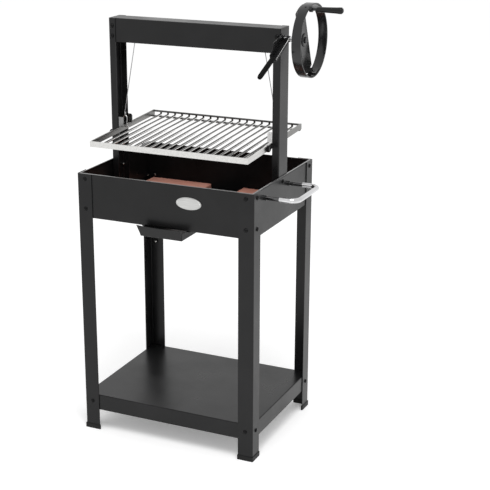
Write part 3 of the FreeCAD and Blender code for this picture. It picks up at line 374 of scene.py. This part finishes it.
foot_plastic = moulded("foot_plastic", (0.007, 0.007, 0.007), 0.5, 900, 0.00015, 0.25)
knob_plastic = moulded("knob_plastic", (0.005, 0.005, 0.005), 0.14, 500, 0.00002, 0.32)
grip_rubber = moulded("grip_rubber", (0.003, 0.003, 0.003), 0.6, 1100, 0.00012, 0.07)
shoe_lining = moulded("shoe_lining", (0.09, 0.075, 0.06), 0.8, 700, 0.0004)
print("plastics:", foot_plastic.name, knob_plastic.name, grip_rubber.name)

# %% [markdown]
# ## Bare metals
#
# The grate is bare steel with the fine marks that grinding leaves along each bar.  The
# handle is chrome, the axle is turned steel, and its bushes and drum are dark steel.
# Streaks come from a noise that is stretched along one axis, so they run the way the tool
# ran.


# %% Metals
def bare_metal(name, colour, rough, stretch, scale=260.0, depth=0.00004, spread=0.08):
    """Bare metal: streaks from a stretched noise change its colour, gloss and normal."""
    finish = Finish(name).set(Metallic=1.0)
    streak = finish.noise(scale, 3.0, 0.6, stretch)
    broad = finish.noise(14.0, 4.0)
    light = tuple(min(1.0, c * 1.08) for c in colour)
    dark = tuple(c * 0.86 for c in colour)
    finish.wear("Base Color", finish.ramp(streak, [(0.3, dark), (0.7, light)]))
    mix = finish.calculate("MULTIPLY", streak, broad)
    finish.wear("Roughness", finish.span(mix, rough - spread / 2, rough + spread, 0.1, 0.45))
    finish.wear("Normal", finish.bump(streak, depth, 0.3))
    return finish


bar_steel = bare_metal("bar_steel", (0.12, 0.12, 0.118), 0.25, (0.05, 1, 1)).material

# The front bar has the bright base colour; the rear and the left are painted shade.
frame_paint = bare_metal("grate_steel", (0.66, 0.655, 0.64), 0.30, (1, 0.05, 1))
rear = frame_paint.span(frame_paint.coordinate("Y"), 0, 1, -0.08, 0.05)
left = frame_paint.calculate(
    "MULTIPLY", frame_paint.span(frame_paint.coordinate("X"), 1, 0, -0.3247, -0.3243),
    frame_paint.span(frame_paint.coordinate("Y"), 0, 1, -0.171, -0.169))
painted_shade_rear_left = frame_paint.calculate("MAXIMUM", rear, left)
grate_steel = frame_paint.overlay(painted_shade_rear_left, (0.23, 0.228, 0.222)).material
# The handle's necks are a dark metal: a painted reflection of the dark side wall.
neck_dark_reflection = bare_metal("neck_dark_reflection", (0.11, 0.11, 0.112), 0.10, (0.05, 1, 1), 80,
                        0.00001).material
dark_steel = bare_metal("dark_steel", (0.045, 0.045, 0.047), 0.22, (0.05, 1, 1)).material
cable_steel = bare_metal("cable_steel", (0.50, 0.50, 0.51), 0.32, (1, 1, 0.2)).material
chrome = bare_metal("chrome", (0.66, 0.66, 0.67), 0.05, (1, 0.1, 1), 80, 0.00001, 0.03).material
plate_silver = bare_metal("plate_silver", (0.54, 0.54, 0.53), 0.30, (0.06, 1, 1), 420).material

# Each rod's top is painted dark, a painted reflection; its points store how far they face up.
rod_paint = bare_metal("rod_steel_painted_reflection", (0.92, 0.915, 0.90), 0.14, (1, 0.04, 1))
rod_steel_painted_reflection = rod_paint.overlay(rod_paint.stored("painted_dark_reflection"), (0.085, 0.083, 0.08)).material

# The axle is dark where it carries the wheel, and bright between wheel and frame.
axle_paint = bare_metal("turned_steel", (0.62, 0.62, 0.62), 0.20, (0.05, 1, 1))
hidden = axle_paint.span(axle_paint.coordinate("X"), 0, 1, 0.2215, 0.2225)
turned_steel = axle_paint.overlay(hidden, (0.04, 0.04, 0.042)).material

# The right guide plate is painted bright and the left one dark: painted light and shade.
guide_paint = bare_metal("guide_zinc_lit_and_shaded", (0.26, 0.26, 0.26), 0.30, (1, 1, 0.05))
painted_light_right = guide_paint.span(guide_paint.coordinate("X"), 0, 1, -0.09, -0.08)
guide_zinc_lit_and_shaded = guide_paint.overlay(painted_light_right, (0.78, 0.78, 0.78)).material
print("metals:", [m.name for m in (grate_steel, turned_steel, chrome, guide_zinc_lit_and_shaded)])

# %% [markdown]
# ## Terracotta
#
# The firebricks are unglazed clay.  Clay dries unevenly, so its colour drifts over each
# slab, and the surface has fine sand and a few larger pores.


# %% Terracotta
def fired_clay(name):
    """Clay: broad drift of colour, sandy grain, and pores cut by a thresholded noise."""
    finish = Finish(name).set(IOR=1.4)
    drift = finish.noise(11.0, 6.0, 0.6)
    sand = finish.noise(520.0, 4.0, 0.7)
    pores = finish.noise(190.0, 2.0, 0.5)
    tone = finish.ramp(drift, [(0.25, (0.52, 0.215, 0.155)), (0.5, (0.64, 0.290, 0.220)),
                               (0.78, (0.76, 0.39, 0.31))])
    grain = finish.add("ShaderNodeMix", data_type="RGBA", blend_type="MULTIPLY")
    grain.inputs["Factor"].default_value = 0.35
    finish.join(tone, grain.inputs["A"])
    finish.join(finish.ramp(sand, [(0.35, (0.62, 0.58, 0.55)), (0.65, (1, 1, 1))]),
                grain.inputs["B"])
    finish.wear("Base Color", grain.outputs["Result"])
    finish.wear("Roughness", finish.span(sand, 0.78, 0.95))
    pits = finish.span(pores, 0.0, 1.0, 0.28, 0.36)
    rough = finish.bump(sand, 0.0005, 0.5)
    finish.wear("Normal", finish.bump(pits, 0.0006, 0.5, rough))
    return finish.material


terracotta = fired_clay("terracotta")
print("clay:", terracotta.name)

# %% [markdown]
# ## One idea for the finer pieces: a ring that travels along a line
#
# A rod is a circle carried along a line.  A hoop is a rounded rectangle carried round a
# circle, and a cable is a circle with lobes that turn as it goes.  So one function joins
# rings of points into a closed skin, and the functions after it only say where the
# points are.


# %% Rings to a skin
def ring_skin(rings, looped):
    """Faces between neighbouring rings of points, for rings shaped (pieces, rows, around, 3).

    Each point is joined to its neighbour in the ring and to the same two points of the
    next ring.  A looped piece's last ring joins its first, and any other piece gets one
    flat face at each end.  The signed volume, a sum of triple products, tells whether the
    faces look outward."""
    count, rows, around = rings.shape[:3]
    index = np.arange(count * rows * around).reshape(count, rows, around)
    here = index if looped else index[:, :-1]
    ahead = np.roll(index, -1, axis=1) if looped else index[:, 1:]
    faces = np.stack([here, np.roll(here, -1, axis=2), np.roll(ahead, -1, axis=2), ahead],
                     axis=-1).reshape(-1, 4)
    points = rings.reshape(-1, 3)
    first = faces[:len(faces) // count]
    a, b, c, d = (points[first[:, k]] - rings[0].mean(axis=(0, 1)) for k in range(4))
    volume = np.sum(a * np.cross(b, c)) + np.sum(a * np.cross(c, d))
    ends = [] if looped else np.concatenate([index[:, 0, ::-1], index[:, -1]]).tolist()
    faces = faces.tolist() + ends
    return points, faces if volume > 0 else [face[::-1] for face in faces]


def add_piece(name, rings, material, body, replaced=(), looped=False, crease=38):
    """A smooth object from rings, with creases where faces meet above an angle."""
    rings = np.asarray(rings, float)
    points, faces = ring_skin(rings.reshape((-1,) + rings.shape[-3:]), looped)
    mesh = bpy.data.meshes.new(name)
    mesh.from_pydata(points.tolist(), [], faces)
    mesh.shade_smooth()
    mesh.set_sharp_from_angle(angle=math.radians(crease))
    mesh.materials.append(material)
    piece = bpy.data.objects.new(name, mesh)
    bpy.context.scene.collection.objects.link(piece)
    if isinstance(body, str):
        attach(piece, body)
    else:
        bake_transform(piece)
    if replaced:
        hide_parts(*replaced)
    print(name, "has", len(points), "points and", len(faces), "faces")
    return piece


# %% Lines, directions and rings
AXLE_Y, AXLE_Z = 6, 1179


def placed(points):
    """Points in millimetres from the middle of the four legs, in the model's metres."""
    return (np.asarray(points, float) + np.array([*LEGS_MIDDLE, 0])) / 1000


def at(x, y, z):
    """One such point."""
    return placed([x, y, z])


def unit(vectors):
    """The same directions with a length of one."""
    vectors = np.asarray(vectors, float)
    return vectors / np.linalg.norm(vectors, axis=-1, keepdims=True)


def soften(corners, radius, steps=7):
    """A line through corners, with an arc in place of each inner corner.

    The arc touches both runs.  Its centre lies on the corner's bisector, and its points
    turn evenly from one touching point to the other."""
    corners = np.asarray(corners, float)
    line = [corners[:1]]
    for before, corner, after in zip(corners, corners[1:], corners[2:]):
        came, goes = unit(before - corner), unit(after - corner)
        half = math.acos(float(np.clip(np.dot(came, goes), -1, 1))) / 2
        room = 0.48 * min(np.linalg.norm(before - corner), np.linalg.norm(after - corner))
        reach = min(radius / math.tan(half), room)
        centre = corner + unit(came + goes) * (reach / math.cos(half))
        first, last = corner + came * reach - centre, corner + goes * reach - centre
        swing = math.pi - 2 * half
        share = np.linspace(0, 1, steps)[:, None]
        line.append(centre + (np.sin((1 - share) * swing) * first
                              + np.sin(share * swing) * last) / math.sin(swing))
    line.append(corners[-1:])
    return np.concatenate(line)


def along(path):
    """The direction of a path at each point: the middle of its two neighbouring steps."""
    steps = unit(np.diff(path, axis=0))
    return unit(np.concatenate([steps[:1], steps[:-1] + steps[1:], steps[-1:]]))


def carry(path, side, radius, around=32):
    """Circles along a path: path + radius * (cos t * side + sin t * over).

    side is a direction across the path and over is square to both.  The radius is one
    number, one for each row, or one for each row and point."""
    radius = np.asarray(radius, float)
    radius = radius[:, None] if radius.ndim == 1 else radius
    radius = np.broadcast_to(radius, (len(path), around))[..., None]
    turn = np.linspace(0, 2 * math.pi, around, endpoint=False)[:, None]
    over = np.cross(along(path), side)[:, None]
    side = np.broadcast_to(side, path.shape)[:, None]
    return path[:, None] + radius * (np.cos(turn) * side + np.sin(turn) * over)


def turned(profile, base, axis, around=56):
    """A turned piece: rows of (radius, height) in millimetres, swept round an axis."""
    profile = np.asarray(profile, float) / 1000
    axis = unit(axis)
    side = unit(np.cross(axis, [0, 0, 1] if abs(axis[2]) < 0.9 else [1, 0, 0]))
    over = np.cross(axis, side)
    turn = np.linspace(0, 2 * math.pi, around, endpoint=False)[:, None]
    spokes = np.cos(turn) * side + np.sin(turn) * over
    return base + profile[:, 1, None, None] * axis + profile[:, 0, None, None] * spokes


print("the middle of the axle is at", at(0, AXLE_Y, AXLE_Z).round(4))

# %% [markdown]
# ## The lift cables and their windings
#
# A wire rope has six strands laid round a core.  Seen from its end that is a circle with
# six lobes, and the lobes turn once in each lay length.  The straight runs stretch
# between the axle and the grate.  Nothing shows how many turns lie on the axle, so their
# number is a guess.

# %% Cables
STRANDS, LAY, ROPE = 6, 0.0135, 0.0013
ROPE_Y, ROPE_TOP_X, ROPE_FOOT_X, ROPE_FOOT_Z = 14.6, 197, 244, 930.6
TURNS, TURN_RADIUS, TURNS_WIDTH = 5.4, 8.6, 15.2


def rope(path, side, around=42):
    """Rings with lobes: the radius is largest along each strand and dips between two.

    The lobes are |cos(3 * angle)|, with the angle turned by the distance along the path
    over the lay length."""
    walked = np.concatenate([[0], np.cumsum(np.linalg.norm(np.diff(path, axis=0), axis=1))])
    turn = np.linspace(0, 2 * math.pi, around, endpoint=False)
    lobes = np.abs(np.cos(STRANDS / 2 * (turn - 2 * math.pi * walked[:, None] / LAY)))
    return carry(path, side, ROPE * (0.80 + 0.20 * lobes ** 0.7), around)


for name, way in (("left", -1), ("right", 1)):
    top = at(ROPE_TOP_X * way, ROPE_Y, AXLE_Z)
    foot = at(ROPE_FOOT_X * way, ROPE_Y, ROPE_FOOT_Z)
    run = np.linspace(top, foot, 600)
    add_piece("rope_" + name, rope(run, np.array([0.0, 1.0, 0.0])), cable_steel,
              ("stand", "grate", tuple(top), tuple(foot)), ("lift_cable_" + name,), crease=70)
    angle = np.linspace(0, 2 * math.pi * TURNS, 900)
    spoke = np.stack([angle * 0, np.cos(angle), np.sin(angle)], axis=1)
    x = (ROPE_TOP_X - TURNS_WIDTH * angle / angle[-1]) * way
    coil = np.stack([x, AXLE_Y + TURN_RADIUS * spoke[:, 1], AXLE_Z + TURN_RADIUS * spoke[:, 2]],
                    axis=1)
    add_piece("rope_turns_" + name, rope(placed(coil), spoke, 30), cable_steel,
              "winch", ("cable_winding_" + name,), crease=70)

# %% [markdown]
# ## The grate's rods and the hand wheel's hoop
#
# Each rod runs back from the front bar and turns up to the rear rail.  All nineteen share
# one path, so one array addition sets them side by side.  The grate is tipped 2.7 degrees
# towards the front, and that is one rotation of all the points.

# %% Rods and hoop
TILT = math.radians(2.7)
GRATE_MIDDLE, GRATE_TOP = 3, 893.6
ROD_RADIUS, ROD_BEND, ROD_DEPTH, ROD_END = 3.6, 3.7, -12.4, 190
ROD_COUNT, ROD_PITCH, HALF_INSIDE = 19, 24.1, 241
HOOP_INNER, HOOP_OUTER, HOOP_START, HOOP_END = 97, 100.5, 326.5, 353


def tipped(points):
    """Points in millimetres in the level grate's own frame, tipped and set at its height."""
    x, y, z = np.moveaxis(np.asarray(points, float), -1, 0)
    back = y * math.cos(TILT) - z * math.sin(TILT)
    high = y * math.sin(TILT) + z * math.cos(TILT)
    return placed(np.stack([x, back + GRATE_MIDDLE, high + GRATE_TOP], axis=-1))


rod_path = soften([(0, -ROD_END, ROD_DEPTH), (0, ROD_END, ROD_DEPTH), (0, ROD_END, -4.6)],
                  ROD_BEND, 10)
rod = carry(rod_path, np.array([1.0, 0.0, 0.0]), ROD_RADIUS, 30)
spots = np.arange(1, ROD_COUNT + 1) * ROD_PITCH - HALF_INSIDE
rods = rod[None] + np.stack([spots, spots * 0, spots * 0], axis=1)[:, None, None]
bars = add_piece("round_rods", tipped(rods), rod_steel_painted_reflection, "grate", ("grate_rods",))
turn = np.linspace(0, 2 * math.pi, rods.shape[2], endpoint=False)
# The mask is 1 where a point faces up: there the rod gets its painted dark reflection.
painted_dark_reflection = np.clip((-np.sin(turn) - 0.35) / 0.2, 0, 1)
painted_dark_reflection = np.broadcast_to(painted_dark_reflection, rods.shape[:3]).astype(np.float32).ravel()
bars.data.attributes.new("painted_dark_reflection", "FLOAT", "POINT").data.foreach_set("value", painted_dark_reflection)

# The flat cross bar under the bends is a softened oblong, carried from side to side.
oblong = soften([(183, -16.0), (177, -16.0), (177, -19.0), (189, -19.0), (189, -16.0),
                 (183.2, -16.0)], 0.7, 5)
across = np.array([-245.0, -244.5, 244.5, 245.0])[:, None]
shrink = np.array([0.96, 1, 1, 0.96])[:, None]
bar = np.stack([across + 0 * oblong[:, 0], 183 + shrink * (oblong[:, 0] - 183),
                -17.5 + shrink * (oblong[:, 1] + 17.5)], axis=-1)
add_piece("flat_cross_bar", tipped(bar), bar_steel, "grate", ("grate_cross_bar",))

section = soften([(98.7, HOOP_START), (HOOP_INNER, HOOP_START), (HOOP_INNER, HOOP_END),
                  (HOOP_OUTER, HOOP_END), (HOOP_OUTER, HOOP_START), (98.8, HOOP_START)], 1.0, 6)
angle = np.linspace(0, 2 * math.pi, 288, endpoint=False)[:, None]
reach, x = section[:, 0] + 0 * angle, section[:, 1] + 0 * angle
hoop = np.stack([x, reach * np.cos(angle) + AXLE_Y, reach * np.sin(angle) + AXLE_Z], -1)
add_piece("rolled_hoop", placed(hoop), wheel_enamel, "winch", ("wheel_hoop",),
          looped=True)

# %% [markdown]
# ## The crank knob, the lever's grip and the side handle
#
# Three grips, three ways of holding them.  The knob widens towards its end so that it
# doesn't slip out of the hand.  The lever's grip has a slight swell and a round end.  The
# side handle is a chromed tube with two wide bends.

# %% Grips
knob = soften([(4.1, 0), (6.3, 0), (7.0, 2.5), (7.3, 24), (8.3, 55), (8.9, 62), (9.0, 68.6),
               (7.6, 70), (4.1, 70)], 3.0, 6)
add_piece("flared_knob", turned(knob, at(374, -32.06, 1268.22), [1, 0, 0]), knob_plastic,
          "crank_knob", ("crank_knob",))

slope = math.radians(22.3)
swell = soften([(0.1, 0), (6.2, 0), (6.9, 1.2), (7.15, 50), (6.9, 90), (5.6, 97.5),
                (0.1, 100)], 2.5, 7)
add_piece("swelled_grip", turned(swell, at(277.5, -101.1, 1142.4),
                                 [0, -math.cos(slope), -math.sin(slope)]),
          grip_rubber, "brake", ("lever_grip",))

tube = soften([at(317.5, -140, 767), at(368, -140, 767), at(368, 28, 767), at(317.5, 28, 767)],
              0.026, 28)
tube = np.concatenate([tube[:1], [at(318.1, -140, 767)], tube[1:-1], [at(318.1, 28, 767)],
                       tube[-1:]])
tube_radius = np.concatenate([[0.0064, 0.007], np.full(len(tube) - 4, 0.007), [0.007, 0.0064]])
add_piece("chrome_tube", carry(tube, np.array([0.0, 0.0, 1.0]), tube_radius, 40), chrome,
          "stand", ("side_handle",))

# %% [markdown]
# ## Firebricks
#
# A brick starts as a rounded outline that rises, turns in over a soft edge and closes
# towards the middle of the top.  Then a few waves of different lengths, multiplied and
# added, lift and sink the points by parts of a millimetre.  Near the edge the waves bite
# deeper, and that makes the small chips that handling leaves.


# %% Firebricks
def waves(points, lengths, seed):
    """A gentle random relief between -1 and 1: products of sines in turned directions."""
    total = np.zeros(points.shape[:-1])
    for k, length in enumerate(lengths):
        turn = seed * 1.7 + k * 2.399
        u = (points[..., 0] * math.cos(turn) + points[..., 1] * math.sin(turn)) / length
        v = (points[..., 1] * math.cos(turn) - points[..., 0] * math.sin(turn)) / length
        total += np.sin(6.283 * u + seed + k) * np.sin(5.2 * v + k)
    return total / len(lengths)


def brick(low, high, seed, edge=2.2):
    """A slab between two corners, in millimetres, with soft chipped upper edges."""
    (x0, y0, z0), (x1, y1, z1) = low, high
    middle = np.array([(x0 + x1) / 2, (y0 + y1) / 2])
    outline = soften([(x0, (y0 + y1) / 2), (x0, y0), (x1, y0), (x1, y1), (x0, y1),
                      (x0, (y0 + y1) / 2 + 0.4)], 3.0, 8)
    walked = np.concatenate([[0], np.cumsum(np.linalg.norm(np.diff(outline, axis=0), axis=1))])
    spaced = np.linspace(0, walked[-1], 300)
    outline = np.stack([np.interp(spaced, walked, outline[:, k]) for k in (0, 1)], axis=1)
    turn = np.linspace(0, math.pi / 2, 7)
    inset = np.concatenate([[0.8, 0, 0, 0], edge * (1 - np.cos(turn)), np.linspace(3.2, 100, 46)])
    height = np.concatenate([[z0, z0 + 0.8, z0 + 5, z0 + 10], z1 - edge + edge * np.sin(turn),
                             np.full(46, z1)])
    shrink = 1 - inset[:, None, None] / np.array([(x1 - x0) / 2, (y1 - y0) / 2]).min()
    flat = middle + (outline - middle) * shrink
    points = np.concatenate([flat, np.broadcast_to(height[:, None, None], flat.shape[:2] + (1,))],
                            axis=-1)
    chips = np.exp(-((inset[:, None] - 1.1) / 1.6) ** 2) * (height[:, None] > z0 + 9)
    bite = np.clip(waves(points, (37, 15, 8), seed) - 0.1, 0, 1)
    points[..., 2] += 0.16 * waves(points, (90, 41, 17, 8), seed) * (height[:, None] > z0 + 12)
    points[..., 2] -= 3.4 * chips * bite
    points[..., :2] += (middle - points[..., :2]) * (chips * bite)[..., None] * 0.018
    return placed(points)


for seed, (name, way, back) in enumerate((("front_left", -1, -1), ("front_right", 1, -1),
                                          ("rear_left", -1, 1), ("rear_right", 1, 1)), 1):
    xs, ys = sorted((53.5 * way, 256.5 * way)), sorted((1.0 * back, 208.5 * back))
    add_piece("clay_brick_" + name, brick((xs[0], ys[0], 668.5), (xs[1], ys[1], 683.9), seed),
              terracotta, "stand", ("firebrick_" + name,), crease=60)

# %% [markdown]
# ## Bolts, nuts and the oval plate
#
# There are dozens of bolts, and each is the same turned shape set at its own place.  So
# the shape is worked out once, and the places are an array of points and directions.
# The oval plate is turned too, on a circle that is then squeezed into an oval.

# %% Places of the bolts
SHELF_BOLT_Z = 90
LEG_BOLT_Z = (780, 692, SHELF_BOLT_Z)
legs = [(way * 251, back * 215, z, 0, back, 0) for way in (-1, 1) for back in (-1, 1)
        for z in LEG_BOLT_Z]
legs += [(way * 275, back * 191, z, way, 0, 0) for way in (-1, 1) for back in (-1, 1)
         for z in LEG_BOLT_Z]
beam = [(way * 256.5, 6 + back * 32, z, 0, back, 0) for way in (-1, 1) for back in (-1, 1)
        for z in (1159, 1188)]
sides = [(way * 272.5, -8, 781, way, 0, 0) for way in (-1, 1)] + [(-272.5, 28, 767, -1, 0, 0)]
lone = [(-252.7, 215, 470.6, 0, 1, 0)]
necks = [(265, 28, 767, -1, 0, 0), (270.5, -140, 767, -1, 0, 0)]
print("bolts through legs, beam and walls:", len(legs), len(beam), len(sides), len(lone))


# %% Bolts and nuts
def each(shape, places, back=0.0):
    """Copies of a turned shape at places (x, y, z, direction), moved back along each."""
    rings = [turned(shape, at(*p[:3]) - np.array(p[3:]) * back / 1000, p[3:], 48)
             for p in places]
    return np.array(rings)


def bolt(length):
    """A domed head, a plain shank through the sheets and thread ridges on its end."""
    dome = np.linspace(0.02, math.pi / 2, 11)
    head = np.stack([6 * np.sin(dome), 0.7 + 3.5 * np.cos(dome)], axis=1)
    depth = np.arange(length - 2.2, length - 0.4, 0.15)
    ridge = 2.86 + 0.14 * np.cos(2 * math.pi * depth / 0.8)
    thread = np.stack([ridge, -depth], axis=1)
    return np.concatenate([head, [(5.8, 0), (3, 0)], thread, [(2.3, -length), (0.1, -length)]])


groups = [(legs, 10.5), (beam, 10.0), (sides, 13.5), (lone, 8.5), (necks, 15.0)]
rings = np.concatenate([each(bolt(length), places) for places, length in groups])
bolts = add_piece("domed_bolts", rings, bolt_black, "stand", ("stand_bolts",))
HEAD_AND_SHANK_ROWS = 13
bare = np.arange(rings.shape[1]) >= HEAD_AND_SHANK_ROWS
bare = np.broadcast_to(bare[None, :, None], rings.shape[:3]).astype(np.float32).ravel()
bolts.data.attributes.new("bare", "FLOAT", "POINT").data.foreach_set("value", bare)


NUT_BORE, NUT_FLAT, NUT_CHAMFER = 3.02, 5.02, 5.25


def hexagon(places, back):
    """Nuts with chamfered corners: the circle's radius is cut down to six flats."""
    turn = np.linspace(0, 2 * math.pi, 48, endpoint=False)
    flats = NUT_FLAT / np.cos((turn + math.pi / 6) % (math.pi / 3) - math.pi / 6)
    caps, bore = np.minimum(flats, NUT_CHAMFER), np.full(len(turn), NUT_BORE)
    radius = np.stack([bore, caps, flats, flats, caps, bore])
    shape = np.array([(1000.0, h) for h in (0, 0, 0.45, 4.55, 5, 5)])
    rings = each(shape, places)
    centre = rings.mean(axis=2, keepdims=True)
    push = np.array([p[3:] for p in places])[:, None, None] * back / 1000
    return centre - push + (rings - centre) * radius[None, :, :, None] / 1000


def inward(places):
    """The same places, facing the other way."""
    return [tuple(p[:3]) + tuple(-d for d in p[3:]) for p in places]


shelf = [p for p in legs if p[2] == SHELF_BOLT_Z]
walls = [p for p in legs if p[2] != SHELF_BOLT_Z]
nuts = [hexagon(inward(places), -depth) for places, depth in
        ((shelf, 4.0), (walls, 4.5), (beam, 4.0), (sides, 7.5), (lone, 2.5))]
add_piece("hexagon_nuts", np.concatenate(nuts), nut_black, "stand",
          ("stand_nuts",), crease=25)

# %% Oval plate
share = soften([(1.0, 0), (1.0, 1.45), (0.955, 1.5), (0.93, 1.15), (0.905, 2.2), (0.6, 2.3),
                (0.003, 2.32)], 0.03, 6)
share = np.stack([share[:, 0] * 1000, share[:, 1]], axis=1)
plate = turned(share, np.zeros(3), [0, -1, 0], 160)
plate = plate * np.array([0.0385, 1.0, 0.0175]) + at(78.5, -212.5, 746)
add_piece("oval_plate", plate, plate_silver, "stand", ("badge_plate",))

# %% [markdown]
# ## Give every CAD node its finish
#
# A finish is chosen by the node's name, because names such as leg_front_left say what the
# part is made of.  The first match in the list wins.

# %% Paint the nodes
FINISHES = [
    ("foot_cap", foot_plastic), ("firebrick", terracotta), ("stand_bolts", bolt_black),
    ("stand_nuts", nut_black), ("upright_spacers", nut_black), ("wheel_bolts", dark_steel),
    ("lever_pivot", dark_steel), ("grate_studs", bolt_black), ("guide_plates", guide_zinc_lit_and_shaded),
    ("grate_rods", rod_steel_painted_reflection), ("grate_rear_rail", bar_steel), ("grate_cross_bar", cable_steel),
    ("grate_", grate_steel), ("cable_shackle", turned_steel),
    ("lift_cable", cable_steel), ("cable_winding", cable_steel), ("winch_axle", turned_steel),
    ("axle_end_ring", dark_steel), ("brake_drum", dark_steel), ("wheel_nut", dark_steel),
    ("crank_pin", dark_steel), ("axle_bush", dark_steel), ("side_handle", chrome),
    ("wheel_", wheel_enamel), ("brake_lever", lever_enamel_with_highlight), ("crank_knob", knob_plastic),
    ("handle_necks", neck_dark_reflection), ("lever_grip", grip_rubber), ("brake_shoe", shoe_lining),
    ("badge_", plate_silver), ("firebox_", fire_enamel_shade_and_highlight), ("", black_enamel),
]
for name, node in nodes.items():
    finish = next(material for start, material in FINISHES if name.startswith(start))
    node.data.materials.clear()
    node.data.materials.append(finish)
print("painted", len(nodes), "nodes")
